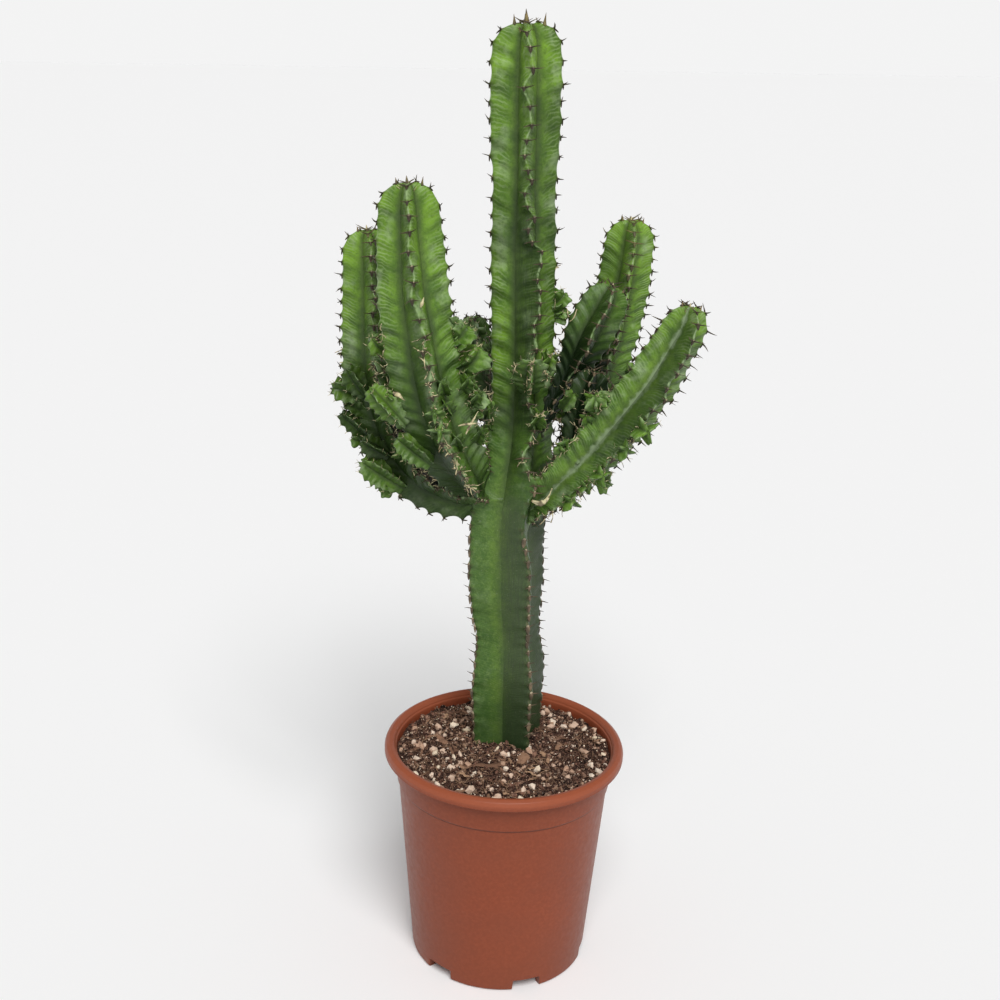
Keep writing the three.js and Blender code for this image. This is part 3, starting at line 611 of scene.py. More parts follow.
def skin_shade(n, flank, tooth, shade):
    """Painted shade among the stems and on surfaces that face down, and the dark flesh round the teeth."""
    # painted shade among the stems, as deep as the shade attribute says
    n.coat(shade, (0.007, 0.016, 0.005))
    # painted shade: the more a surface faces down, the darker it is painted
    facing = n.upward(n.node("ShaderNodeNewGeometry").outputs["Normal"])
    n.coat(n.span(facing, -0.65, 0.05, 0.62, 0), (0.016, 0.036, 0.010))
    round_tooth = n.times(n.span(flank, 0.03, 0.12, 1, 0), n.span(tooth, 0.1, 0.4, 0.6, 0))
    n.coat(round_tooth, (0.045, 0.050, 0.018))


def skin_edge(n, flank, young, tooth, rim):
    """The horny edge of a rib, pale between two teeth and browner on old ribs."""
    width = n.math("DIVIDE", flank, n.span(tooth, 0.15, 0.6, 0.008, 0.034))
    edge = n.times(n.span(width, 0.6, 1.15, 1, 0), n.span(tooth, 0.15, 0.35, 0.1, 1))
    horn = n.mix(n.span(young, 0.1, 0.4), (0.20, 0.165, 0.10), (0.26, 0.36, 0.17))
    broken = n.span(n.noise(320, 2, shift=1.3), 0.38, 0.6, 0.05, 0.85)
    broken = n.times(broken, n.span(young, 0.25, 0.6, 0.4, 1))
    n.coat(n.times(edge, broken, rim), horn)


def skin_age(n, young):
    """Pale specks, most of them on old skin, and a darker foot just above the soil."""
    specks = n.span(n.noise(1200, 2, shift=2.2), 0.62, 0.78, 0, 0.25)
    n.coat(n.times(specks, n.span(young, 0.15, 0.5, 1, 0.2)), (0.30, 0.33, 0.22))
    foot = n.span(n.upward(n.place()), 0.16, 0.215, 1, 0)
    n.coat(n.times(foot, 0.45), (0.022, 0.045, 0.016))


def stem_material():
    n = Nodes("euphorbia_skin")
    names = ("flank", "young", "streak", "tooth", "pale", "grey", "shade", "rim")
    flank, young, streak, tooth, pale, grey, shade, rim = map(n.attribute, names)
    waves = skin_waves(n, streak)
    skin_ground(n, flank, young, pale)
    skin_mottling(n, flank, young)
    skin_streaks(n, waves, flank, young)
    skin_groove(n, flank, young, pale, grey)
    skin_shade(n, flank, tooth, shade)
    skin_edge(n, flank, young, tooth, rim)
    skin_age(n, young)
    height = n.math("ADD", n.noise(1400, roughness=0.6), n.times(waves, 0.5))
    rough = n.span(n.noise(260), 0.3, 0.7, 0.28, 0.46)
    return n.finish(rough, n.bump(height, 0.3, 0.00022), specular=0.2)


def spine_material():
    """Spines go from a brown foot to a dark tip; those of a growing point are yellow-brown."""
    n = Nodes("spine_horn")
    along, young = n.attribute("along"), n.attribute("young")
    old = n.ramp(
        along, (0, (0.40, 0.33, 0.22)), (0.12, (0.20, 0.145, 0.088)), (0.3, (0.125, 0.085, 0.050)),
        (0.8, (0.075, 0.048, 0.030)), (1, (0.025, 0.015, 0.010)),
    )
    fresh = n.ramp(
        along, (0, (0.36, 0.31, 0.19)), (0.12, (0.034, 0.024, 0.012)), (0.4, (0.036, 0.026, 0.014)),
        (0.75, (0.095, 0.068, 0.036)), (1, (0.032, 0.020, 0.012)),
    )
    newest = n.ramp(along, (0, (0.15, 0.18, 0.05)), (0.5, (0.27, 0.21, 0.08)), (1, (0.15, 0.08, 0.032)))
    n.colour = n.mix(n.span(young, 0.3, 0.7), old, fresh)
    n.coat(n.span(young, 1.0, 1.15), newest)
    n.coat(n.span(n.noise(900), 0.45, 0.7, 0, 0.3), (0.18, 0.145, 0.085))
    n.coat(n.span(n.noise(120, 2), 0.42, 0.6, 0.75, 0), (0.036, 0.028, 0.016))
    return n.finish(0.5, n.bump(n.noise(2500, 2), 0.4, 0.0002), specular=0.3)


def dry_material():
    """Dried spines are straw with pale and dark patches, and browner towards the tip."""
    n = Nodes("dry_spine")
    along = n.attribute("along")
    n.colour = n.ramp(along, (0, (0.30, 0.25, 0.12)), (0.5, (0.57, 0.50, 0.28)), (1, (0.26, 0.18, 0.09)))
    n.coat(n.span(n.noise(320), 0.4, 0.6, 0, 0.75), (0.68, 0.61, 0.37))
    n.coat(n.span(n.noise(260, shift=4.4), 0.48, 0.58, 0, 0.8), (0.075, 0.055, 0.030))
    return n.finish(0.6, n.bump(n.noise(1800, 2), 0.4, 0.0002))


def pot_material():
    """Plastic with a fine mottle, specks and scuffs; painted shade low on the wall and under the collar step,
    and a painted highlight on the rim.
    """
    n = Nodes("terracotta_plastic")
    n.colour = n.ramp(n.noise(9, 2), (0.3, (0.218, 0.047, 0.0185)), (0.7, (0.246, 0.054, 0.0210)))
    mottled = n.noise(420, roughness=0.65)
    n.coat(n.span(mottled, 0.35, 0.55, 0.20, 0), (0.120, 0.030, 0.014))
    n.coat(n.span(mottled, 0.5, 0.75, 0, 0.15), (0.36, 0.115, 0.055))
    n.coat(n.span(n.noise(28), 0.35, 0.65, 0.0, 0.30), (0.185, 0.048, 0.024))
    n.coat(n.span(n.noise(1500, 1), 0.70, 0.76, 0, 0.35), (0.12, 0.030, 0.018))
    n.coat(n.span(n.noise(160, 5, 0.7), 0.62, 0.8, 0, 0.10), (0.42, 0.22, 0.15))
    level = n.upward(n.place())
    # painted shade: the wall is painted darker towards the foot
    n.coat(n.span(level, 0.0, 0.07, 0.32, 0), (0.150, 0.036, 0.014))
    # painted highlight: the rolled rim is lighter where its top faces the key lamp
    rim_low, rim_high = (POT["height"] - 7) * MM, (POT["height"] - 3.5) * MM
    n.coat(n.span(level, rim_low, rim_high, 0, 0.5), (0.36, 0.098, 0.045))
    # painted shade: a dark line under the collar step
    from_step = n.math("ABSOLUTE", n.math("SUBTRACT", level, POT["collar"] * MM))
    n.coat(n.span(from_step, 0.0004, 0.0011, 0.6, 0), (0.070, 0.017, 0.009))
    rough = n.span(n.noise(240, 4), 0.3, 0.7, 0.36, 0.48)
    height = n.math("ADD", n.noise(2600, 2), n.times(n.noise(300, 2), 0.6))
    return n.finish(rough, n.bump(height, 0.25, 0.00008), specular=0.24)


def soil_material():
    n = Nodes("potting_soil")
    n.colour = n.ramp(
        n.attribute("tone"), (0, (0.016, 0.007, 0.005)), (0.35, (0.075, 0.033, 0.021)),
        (0.7, (0.26, 0.128, 0.084)), (1, (0.60, 0.40, 0.28)),
    )
    n.coat(n.span(n.noise(620, 4, 0.7), 0.44, 0.62, 0, 0.85), (0.016, 0.007, 0.005))
    n.coat(n.span(n.noise(1000, roughness=0.7), 0.57, 0.67, 0, 0.85), (0.50, 0.33, 0.24))
    return n.finish(0.95, n.bump(n.noise(1500, 4, 0.7), 0.9, 0.0006), specular=0.25)


def grain_material():
    n = Nodes("pumice")
    n.colour = n.ramp(
        n.attribute("tone"), (0, (0.50, 0.31, 0.21)), (0.35, (0.73, 0.54, 0.41)),
        (0.7, (0.88, 0.74, 0.60)), (1, (0.83, 0.68, 0.48)),
    )
    n.coat(n.span(n.noise(650, 4, 0.7), 0.54, 0.72, 0, 0.5), (0.22, 0.12, 0.07))
    return n.finish(0.85, n.bump(n.noise(1300, 4, 0.7), 0.7, 0.0005), specular=0.3)


def bark_material():
    n = Nodes("bark_and_fibre")
    tone = n.attribute("tone")
    n.colour = n.ramp(tone, (0, (0.085, 0.040, 0.023)), (0.5, (0.26, 0.14, 0.085)), (1, (0.48, 0.30, 0.18)))
    n.coat(n.span(n.noise(500, 4, 0.7), 0.45, 0.75, 0, 0.6), (0.06, 0.028, 0.018))
    return n.finish(0.85, n.bump(n.noise(1200, 4, 0.7), 0.7, 0.0005), specular=0.3)


def floor_material():
    n = Nodes("studio_floor")
    n.colour = (0.945, 0.945, 0.945, 1)
    return n.finish(0.9, specular=0.1)


SKIN, HORN, DRY = stem_material(), spine_material(), dry_material()
PLASTIC, CRUMB, PUMICE, BARK = pot_material(), soil_material(), grain_material(), bark_material()

# ---------------------------------------------------------------- camera, light and floor

# The camera that was fitted to the pot's ellipses in the photo, in metres and degrees.
CAMERA = dict(place=(-0.04676, -0.85763, 0.63912), down=18.887, roll=0.9, sensor=36, lens=48.6, shift=0.058)
# The world's strength goes from the backdrop's to the ceiling's between two heights of the view.
SKY = {"From Min": 0.1, "From Max": 0.5, "To Min": 0.9, "To Max": 0.25}


def place_camera():
    data = bpy.data.cameras.new("photo_view")
    data.sensor_width, data.lens, data.shift_x = CAMERA["sensor"], CAMERA["lens"], CAMERA["shift"]
    data.clip_start, data.clip_end = 0.05, 30
    down, roll = math.radians(CAMERA["down"]), math.radians(CAMERA["roll"])
    view = Vector((0, math.cos(down), -math.sin(down)))
    upright = Vector((0, math.sin(down), math.cos(down)))
    right = Vector((1, 0, 0)) * math.cos(roll) + upright * math.sin(roll)
    up = upright * math.cos(roll) - Vector((1, 0, 0)) * math.sin(roll)
    camera = add_object("photo_view", data)
    turned = Matrix((right, up, -view)).transposed().to_4x4()
    camera.matrix_world = Matrix.Translation(CAMERA["place"]) @ turned
    bpy.context.scene.camera = camera


def set_world():
    """A bright backdrop all round the horizon, under a dimmer ceiling."""
    world = bpy.data.worlds.new("studio")
    world.use_nodes = True
    nodes, links = world.node_tree.nodes, world.node_tree.links
    direction = nodes.new("ShaderNodeTexCoord")
    parts = nodes.new("ShaderNodeSeparateXYZ")
    height = nodes.new("ShaderNodeMapRange")
    height.interpolation_type = "SMOOTHSTEP"
    for key, value in SKY.items():
        height.inputs[key].default_value = value
    links.new(direction.outputs["Generated"], parts.inputs[0])
    links.new(parts.outputs["Z"], height.inputs["Value"])
    links.new(height.outputs[0], nodes["Background"].inputs["Strength"])
    nodes["Background"].inputs["Color"].default_value = (1, 1, 1, 1)
    bpy.context.scene.world = world
    bpy.context.scene.view_settings.view_transform = "Standard"


def add_sun(name, direction, strength, spread):
    data = bpy.data.lights.new(name, "SUN")
    data.energy, data.angle = strength, math.radians(spread)
    add_object(name, data).rotation_euler = Vector(direction).to_track_quat("-Z", "Y").to_euler()


def add_floor(reach=60, below=0.0002):
    """A plane just below the pot's foot, in metres."""
    corners = [(-reach, -reach), (reach, -reach), (reach, reach), (-reach, reach)]
    mesh = bpy.data.meshes.new("floor")
    mesh.from_pydata([(x, y, -below) for x, y in corners], [], [(0, 1, 2, 3)])
    mesh.materials.append(floor_material())
    floor = add_object("floor", mesh)


place_camera()
set_world()
add_sun("key", (-0.12, 0.8, -1), strength=2.6, spread=32)
add_floor()

# ---------------------------------------------------------------- the pot


def wall_radius(height):
    """The outside of the pot's wall."""
    return POT["foot"] + POT["flare"] * height + (POT["collar_step"] if height > POT["collar"] else 0)


def rounded(profile, radius=0.45, steps=3):
    """A [radius, height] profile with each inner corner rounded by a short arc."""
    points = [np.array(p, float) for p in profile]
    out = [points[0]]
    for before, corner, after in zip(points, points[1:], points[2:]):
        reach = min(radius, np.linalg.norm(corner - before) / 2.2, np.linalg.norm(after - corner) / 2.2)
        start = corner + (before - corner) / np.linalg.norm(before - corner) * reach
        end = corner + (after - corner) / np.linalg.norm(after - corner) * reach
        for share in np.linspace(0, 1, steps + 1):
            out.append((1 - share) ** 2 * start + 2 * share * (1 - share) * corner + share ** 2 * end)
    return np.array(out + [points[-1]])


def notch_height(angle):
    """How high the foot ring is cut away at an angle from the front."""
    step = TAU / FEET["count"]
    away = (angle - math.radians(FEET["first"]) + step / 2) % step - step / 2
    across = np.abs(np.tan(away)) * POT["foot"]
    half = POT["foot"] * math.tan(math.radians(FEET["half_angle"]))
    turn = np.clip((across - half + FEET["rounding"]) / FEET["rounding"], 0, 1)
    top = POT["floor"] - FEET["rounding"] * (1 - np.sqrt(1 - turn ** 2))
    return np.where(across < half, top, 0)


def pot_outline():
    """The section as [radius, height], from the middle of the underside round to that of the floor."""
    hub, floor, foot_inner, foot = POT["hub"], POT["floor"], POT["foot_inner"], POT["foot"]
    wall, height, rim, under = POT["wall"], POT["height"], POT["rim"], POT["under_rim"]
    floor_top, collar, neck = floor + POT["floor_thickness"], POT["collar"], wall_radius(under)
    axis, hub_height = 0.05, 0.3
    underside = [
        (axis, hub_height), (hub, hub_height), (hub + 1, floor), (foot_inner - 1.5, floor),
        (foot_inner, 0), (foot - 1.2, 0),
    ]
    outside_wall = [(wall_radius(z), z) for z in (1.3, 9, 60, collar, collar + 1)]
    rolled_rim = [
        (neck, under), (neck + 0.6, under + 4), (rim - 3, under + 5), (rim - 1.2, under + 3),
        (rim - 1, under), (rim, under), (rim - 0.15, under + 0.9), (rim, height - 4.2),
        (rim - 1.1, height - 1.5), (rim - 3.6, height), (rim - 6.3, height - 0.6),
        (rim - 7.5, height - 2.2), (rim - 7.7, height - 3.4), (neck - wall + 0.3, height - 4),
    ]
    inside_wall = [(wall_radius(z) - wall, z) for z in (collar + 1, collar, floor_top + 1)]
    inner_floor = [(wall_radius(floor_top) - wall - 1, floor_top), (axis, floor_top)]
    return underside + outside_wall + rolled_rim + inside_wall + inner_floor


def build_pot(columns=720):
    profile = rounded(pot_outline())
    radius, height = profile[:, :1], profile[:, 1:]
    angle = np.arange(columns) * TAU / columns
    z = np.repeat(height, columns, 1)
    foot_ring = (radius[:, 0] > POT["foot_inner"] - 1.6) & (height[:, 0] < POT["floor"] + 0.01)
    z[foot_ring] = np.maximum(z[foot_ring], notch_height(angle))
    ring = np.stack([radius * np.sin(angle), -radius * np.cos(angle), z], -1)
    vertices = np.concatenate([ring.reshape(-1, 3), [[0, 0, height[0, 0]], [0, 0, height[-1, 0]]]])
    faces = closed_faces(len(profile), columns, len(vertices) - 2, len(vertices) - 1)
    tidy_mesh(new_piece("pot_body", vertices, faces, PLASTIC, "pot", ["pot"]))


def tidy_mesh(piece, distance=0.02 * MM):
    """Joins vertices that coincide, and turns all faces outwards."""
    work = bmesh.new()
    work.from_mesh(piece.data)
    bmesh.ops.remove_doubles(work, verts=work.verts, dist=distance)
    bmesh.ops.recalc_face_normals(work, faces=work.faces)
    work.to_mesh(piece.data)
    work.free()


build_pot()

# ---------------------------------------------------------------- the soil


SOIL_EDGE = wall_radius(SOIL["level"]) - POT["wall"] - 0.3


def from_stem(x, y):
    """How far a place lies from the stem's foot."""
    return np.hypot(x - SOIL["centre"][0], y - SOIL["centre"][1])


def soil_height(x, y):
    mound = SOIL["mound"] * np.exp(-(from_stem(x, y) / SOIL["reach"]) ** 2)
    waves = np.sin(0.31 * x + 1.1) * np.cos(0.27 * y) + 0.6 * np.sin(0.55 * x - 0.43 * y + 2)
    return SOIL["level"] + mound + SOIL["roughness"] * waves


def rough_height(x, y):
    """The soil's height with its crumbs, from fractal noise."""
    fine = [noise.fractal(Vector((a * 0.24, b * 0.24, 3.1)), 0.6, 2.1, 4) for a, b in zip(x, y)]
    return soil_height(x, y) + 1.7 * np.array(fine) - 0.5


def scatter(rng, count, edge, keep_off=0):
    """Random spots on the soil, off the stem's foot."""
    spots = []
    while len(spots) < count:
        angle, far = rng.uniform(0, TAU), edge * math.sqrt(rng.uniform())
        x, y = far * math.cos(angle), far * math.sin(angle)
        if from_stem(x, y) > keep_off:
            spots.append((x, y))
    return np.array(spots)


def headings(angle):
    return np.stack([np.cos(angle), np.sin(angle)], -1)


def on_soil(path, lift):
    """Flat paths laid on the soil, lifted above it."""
    height = soil_height(path[..., 0], path[..., 1]) + lift
    return np.concatenate([path, height[..., None]], -1)


def lumps(name, material, rng, spots, sizes, jitter, lift):
    """A piece of irregular pebbles at spots on the soil, lying in any direction."""
    template, faces = pebble()
    count = len(spots)
    shape = template[None] * (1 + jitter * rng.uniform(-1, 1, (count, len(template), 1)))
    shape = shape * sizes[:, None, :]
    turn = np.linalg.qr(rng.normal(size=(count, 3, 3)))[0]
    shape = np.einsum("nij,nvj->nvi", turn, shape)
    vertices, faces = copies(len(template), [faces], shape + on_soil(spots, lift)[:, None])
    flip = np.linalg.det(turn) < 0
    faces = faces[0].reshape(count, -1, 3)
    faces[flip] = faces[flip][:, :, ::-1]
    tone = np.repeat(rng.uniform(0, 1, count), len(template))
    new_piece(name, vertices, [faces.reshape(-1, 3)], material, "soil", smooth=False, tone=tone)


def litter(name, rng, path, radii, smooth=True, **options):
    """A piece of chips or fibres, each with a tone of its own."""
    vertices, faces, _ = tubes(path, radii, **options)
    tone = np.repeat(rng.uniform(0.1, 1, len(path)), len(vertices) // len(path))
    new_piece(name, vertices, faces, BARK, "soil", smooth=smooth, tone=tone)


def soil_bed(rings=110, columns=300, depth=14):
    radius = SOIL_EDGE * np.linspace(0, 1, rings + 1)[1:]
    angle = np.arange(columns) * TAU / columns
    x, y = np.outer(radius, np.cos(angle)), np.outer(radius, np.sin(angle))
    z = rough_height(x.ravel(), y.ravel()).reshape(x.shape)
    bottom = SOIL["level"] - depth
    side = np.stack([x[-1:] * 0.99, y[-1:] * 0.99, np.full((1, columns), bottom)], -1)
    body = np.concatenate([np.stack([x, y, z], -1), side]).reshape(-1, 3)
    vertices = np.concatenate([body, [[0, 0, SOIL["level"]], [0, 0, bottom]]])
    last = rings * columns + np.arange(columns)
    faces = [grid_faces(rings + 1, columns)[:, ::-1], fan_faces(len(body), np.arange(columns)),
             fan_faces(len(body) + 1, last, flip=True)]
    tone = [0.25 + 0.3 * noise.noise(Vector((a * 0.35, b * 0.35, 9))) for a, b, _ in vertices]
    new_piece("soil_bed", vertices, faces, CRUMB, "soil", ["soil"], tone=tone)


def soil_crumbs(rng, count=4200):
    """Dark crumbs, a few of them large."""
    spots = scatter(rng, count, SOIL_EDGE - 1)
    sizes = (0.35 + 1.6 * rng.uniform(size=(count, 1)) ** 3) * rng.uniform(0.4, 1.6, (count, 3))
    lumps("soil_crumbs", CRUMB, rng, spots, sizes, 0.4, rng.uniform(-0.9, 1.4, count))


def pumice_grains(rng, count=900, large_share=0.16):
    """A few large grains and many small ones, all angular."""
    spots = scatter(rng, count, SOIL_EDGE - 2, keep_off=24)
    large = (rng.uniform(size=(count, 1)) < large_share) * rng.uniform(0.8, 2.6, (count, 1))
    sizes = (rng.uniform(0.22, 0.75, (count, 1)) + large) * rng.uniform(0.55, 1.35, (count, 3))
    lumps("pumice_grains", PUMICE, rng, spots, sizes, 0.34, rng.uniform(0.2, 1.7, count))


def bark_chips(rng, count=46, steps=7):
    """Flat chips, a little bent: the CAD's and many smaller ones."""
    x, y, length, width, heading = np.array(CHIPS, float).T
    spots = np.concatenate([np.stack([x, y], -1), scatter(rng, count, SOIL_EDGE - 6, keep_off=26)])
    length = np.concatenate([length, rng.uniform(4, 12, count)])
    width = np.concatenate([width, rng.uniform(1.2, 3.5, count)])
    heading = np.concatenate([np.radians(heading), rng.uniform(0, TAU, count)])
    shares = np.linspace(-0.5, 0.5, steps)
    path = spots[:, None] + headings(heading)[:, None] * (shares[:, None] * length[:, None, None])
    path += rng.normal(0, 0.35, path.shape)
    path = on_soil(path, 1.5 + rng.uniform(-0.3, 0.5, path.shape[:2]))
    taper = np.sqrt(np.clip(1.05 - (2 * shares) ** 2, 0.12, 1))
    radii = width[:, None] / 2 * taper * rng.uniform(0.8, 1.15, (len(spots), steps))
    litter("bark_chips", rng, path, radii, smooth=False, sides=8, flat=0.38, reference=(0, 0, 1))


def soil_fibres(rng, count=900, steps=7):
    """Thin fibres that wander over the soil and stay inside the pot."""
    spots = scatter(rng, count, SOIL_EDGE - 6, keep_off=20)
    heading = rng.uniform(0, TAU, (count, 1)) + np.cumsum(rng.normal(0, 0.35, (count, steps)), 1)
    length = rng.uniform(4, 13, (count, 1))
    path = spots[:, None] + np.cumsum(headings(heading) * (length / steps)[..., None], 1)
    path *= np.minimum(1, (SOIL_EDGE - 1) / np.linalg.norm(path, axis=-1))[..., None]
    path = on_soil(path, 1.3 + rng.uniform(-0.5, 1.0, path.shape[:2]))
    radii = rng.uniform(0.08, 0.22, (count, 1)) * np.ones((1, steps))
    litter("soil_fibres", rng, path, radii, sides=5)


def build_soil():
    rng = np.random.default_rng(SEEDS["soil"])
    soil_bed()
    for build in (soil_crumbs, pumice_grains, bark_chips, soil_fibres):
        build(rng)


build_soil()

# ---------------------------------------------------------------- ribbed stems


class StemLine:
    """The smooth line through a stem's route, as in the CAD source. Places along it are given by
    the distance over the surface, which goes on over the rounded tip."""

    def __init__(self, route, turn, reference=(0, -1, 0), cap_share=1.0, power=2.2, samples=60):
        route = np.array(route, float)
        padded = np.concatenate([[2 * route[0] - route[1]], route, [2 * route[-1] - route[-2]]])
        rows = []
        for p0, p1, p2, p3 in zip(padded, padded[1:], padded[2:], padded[3:]):
            t = np.linspace(0, 1, samples, endpoint=False)[:, None]
            t0, t1 = (p2 - p0) / 2, (p3 - p1) / 2
            rows.append(p1 + t0 * t + (-3 * p1 + 3 * p2 - 2 * t0 - t1) * t ** 2
                        + (2 * p1 - 2 * p2 + t0 + t1) * t ** 3)
        self.rows = np.concatenate(rows + [route[-1:]])
        steps = np.linalg.norm(np.diff(self.rows[:, :3], axis=0), axis=1)
        self.along = np.concatenate([[0], np.cumsum(steps)])
        self.axes = unit(np.gradient(self.rows[:, :3], axis=0))
        self.turn, self.reference = turn, np.array(reference, float)
        self.length = self.along[-1]
        self.cap = route[-1, 3] * cap_share
        self.body = self.length - self.cap
        # the tip's outline: shares of its height and of the rib radius, and the way over it
        turn = np.linspace(0, math.pi / 2, 200)
        self.up, self.wide = np.sin(turn) ** (2 / power), np.cos(turn) ** (2 / power)
        steps = np.hypot(np.diff(self.up) * self.cap, np.diff(self.wide) * route[-1, 3])
        self.over = self.body + np.concatenate([[0], np.cumsum(steps)])
        self.lean = np.arctan2(self.up ** (power - 1), self.wide ** (power - 1))
        self.surface = self.over[-1]

    def at(self, surface):
        """Centre, axis, front, side, rib radius, turn, distance and tip angle of each section."""
        up = np.interp(surface, self.over, self.up)
        wide = np.interp(surface, self.over, self.wide)
        # the growing point lies in a dimple
        dimple = 0.12 * np.clip(1 - wide / 0.45, 0, 1) ** 2
        distance = np.where(surface > self.body, self.body + self.cap * (up - dimple), surface)
        values = [np.interp(distance, self.along, column) for column in self.rows.T]
        axis = unit(np.stack([np.interp(distance, self.along, column) for column in self.axes.T], -1))
        front = unit(self.reference - axis * (axis @ self.reference)[:, None])
        return dict(
            centre=np.stack(values[:3], -1), axis=axis, front=front, side=np.cross(axis, front),
            radius=values[3] * wide, distance=distance, tip=np.interp(surface, self.over, self.lean),
            turned=np.radians(table(self.turn, distance / self.length)),
        )


class Rib:
    """The row of teeth on one rib: their places over the surface, and each one's stand and size."""

    def __init__(self, line, look, number, rng, meander=()):
        grid = np.arange(-40, line.surface + 40, 1.0)
        pitch = table(look["pitch"], grid)
        count = np.concatenate([[0], np.cumsum(1 / pitch[:-1])])
        teeth = np.arange(1, int(count[-1]))
        numbers = teeth + 0.5 * (number % 2) + rng.uniform(-0.16, 0.16, len(teeth))
        places = np.interp(numbers, count, grid)
        sway = np.where(teeth % 2, 1, -1) * rng.uniform(0.2, 1.2, len(teeth))
        sway = sway * table(look["zigzag"], places)
        if meander:
            low, high = meander[0][0] - 5, meander[-1][0] + 5
            kept = (places < low) | (places > high)
            places = np.concatenate([places[kept], [row[0] for row in meander]])
            sway = np.concatenate([sway[kept], [row[1] for row in meander]])
            order = np.argsort(places)
            places, sway = places[order], sway[order]
        self.places, self.sway = places, sway
        self.size = rng.uniform(0.65, 1.35, len(places))
        self.far_reaching = bool(meander)

    def phase(self, surface):
        """How many teeth lie before a place, in full and in part."""
        return np.interp(surface, self.places, np.arange(len(self.places)))

    def between(self, values, phase):
        """The teeth's values, eased from one tooth to the next."""
        low = np.clip(np.floor(phase).astype(int), 0, len(self.places) - 2)
        share = (1 - np.cos(np.pi * (phase - low))) / 2
        return values[low] * (1 - share) + values[low + 1] * share


class RibbedStem:
    """A stem's line, its ribs with their teeth, and the fine surface that they make."""

    def __init__(self, line, look, shape, seed, meander=()):
        self.line, self.look, self.shape = line, look, shape
        rng = np.random.default_rng(seed)
        self.ribs = [Rib(line, look, k, rng, () if k else meander) for k in range(RIBS)]
        self.quirk = rng.uniform(0, TAU, (RIBS, len(LUMP_LENGTHS)))

    def along(self, key, surface):
        return table(self.look[key], surface)[:, None]

    def outline(self, t, surface, phase):
        """How far out and across a flank stands, in shares of the rib radius."""
        far = self.along("groove", surface) * math.sqrt(0.5)
        scallop = self.shape["scallop"] * self.along("tooth", surface) * np.sin(np.pi * phase) ** 2
        # the hollow rounds the groove, where its slope meets the next rib's
        width = self.along("hollow", surface)
        hollow = (0.5 - far) * width * np.exp((t - 1) / width)
        out = 1 - (1 - far) * t - scallop * np.exp(-t / 0.1) + hollow
        across = far * t + 0.02 * np.sin(np.pi * t) + hollow
        across = across + self.shape["crest"] * (1 - np.exp(-t / 0.035)) * (1 - t) ** 0.6
        across = across + 0.014 * np.cos(TAU * phase) * np.exp(-t / 0.12) * np.minimum(1, t / 0.02)
        return out, across

    def puffs(self, number, side, t, surface, streak):
        """How far a flank swells outwards: a ridge down from each tooth, and uneven lumps."""
        rib, quirk = self.ribs[number], self.quirk[number]
        lump = sum(np.sin(surface[:, None] / length + quirk[i] + side * 1.3 + t * 2.2)
                   for i, length in enumerate(LUMP_LENGTHS)) / len(LUMP_LENGTHS)
        ridge = self.along("swell", surface) * rib.between(rib.size, streak) ** 2 * np.cos(TAU * streak)
        window = np.sin(np.pi * np.clip(t * 1.06, 0, 1)) ** 0.8
        return (ridge + 0.35 * lump) * window

    def snaking(self, number, t, surface, distance):
        """How far a rib stands beside its line, by the CAD's waves, as a share of the rib radius."""
        wave = sum(
            share * np.sin(TAU * distance / length + RIB_PHASE * number * (i + 1))
            for i, (share, length) in enumerate(CREST_WAVES)
        )
        return wave * self.along("wave", surface) * (1 - t ** 1.5)

    def flank(self, number, side, steps, surface):
        """Points on one flank of a rib, from its crest (0) to the groove (1), and the skin's
        attributes there. On the crest alone these are the ways out, sideways and up from it."""
        number %= RIBS
        rib, place = self.ribs[number], self.line.at(surface)
        t = np.asarray(steps, float)[None, :]
        radius, tip = place["radius"][:, None], place["tip"][:, None]
        angle = place["turned"] + number * TAU / RIBS
        outward = place["front"] * np.cos(angle)[:, None] + place["side"] * np.sin(angle)[:, None]
        sideward = np.cross(place["axis"], outward)

        # where each point stands between two teeth, on the crest and down along the swellings
        phase = rib.phase(surface)[:, None]
        gap = np.abs(phase - np.round(phase))
        streak = rib.phase(surface[:, None] + self.shape["drop"] * t ** 1.5)

        out, across = self.outline(t, surface, phase)
        puff = self.puffs(number, side, t, surface, streak) * np.cos(tip)
        reach = (1 - t) ** 1.3 if rib.far_reaching else np.exp(-t / 0.12)
        shift = rib.between(rib.sway, phase) * reach * np.cos(tip)
        if not rib.far_reaching:
            shift = shift + radius * self.snaking(number, t, surface, place["distance"][:, None]) * out
        flesh = self.along("tooth", surface) * rib.between(rib.size, phase)
        flesh = flesh * np.exp(-(gap * self.along("pitch", surface) / 1.5) ** 1.5 - t / self.shape["flesh"])

        far = self.along("groove", surface) * math.sqrt(0.5)
        slope = np.hypot(far, 1 - far)
        outs = radius * out + puff * far / slope + flesh * np.cos(tip)
        acrosses = side * (radius * across + puff * (1 - far) / slope) + shift
        points = place["centre"][:, None] + outward[:, None] * outs[..., None]
        points = points + sideward[:, None] * acrosses[..., None]
        points = points + place["axis"][:, None] * (flesh * np.sin(tip))[..., None]
        if len(steps) == 1:
            crest = unit(outward * np.cos(tip) + place["axis"] * np.sin(tip))
            return points[:, 0], dict(outward=crest, sideward=sideward, upward=np.cross(sideward, -crest))
        return points, self.paint(number, side, t, surface, streak=streak, tooth=np.clip(gap * 2, 0, 1))

    def paint(self, number, side, t, surface, **layers):
        """The attributes of a flank's skin."""
        look, face = self.look, (number, side)
        layers.update({key: self.along(key, surface) for key in ("young", "rim", "pale")})
        deep = look["dark"] is None or face in look["dark"]
        shade = self.along("shade", surface) * (1 if deep else look["less"])
        shade = shade + table(look["own"].get(face, 0), surface)[:, None]
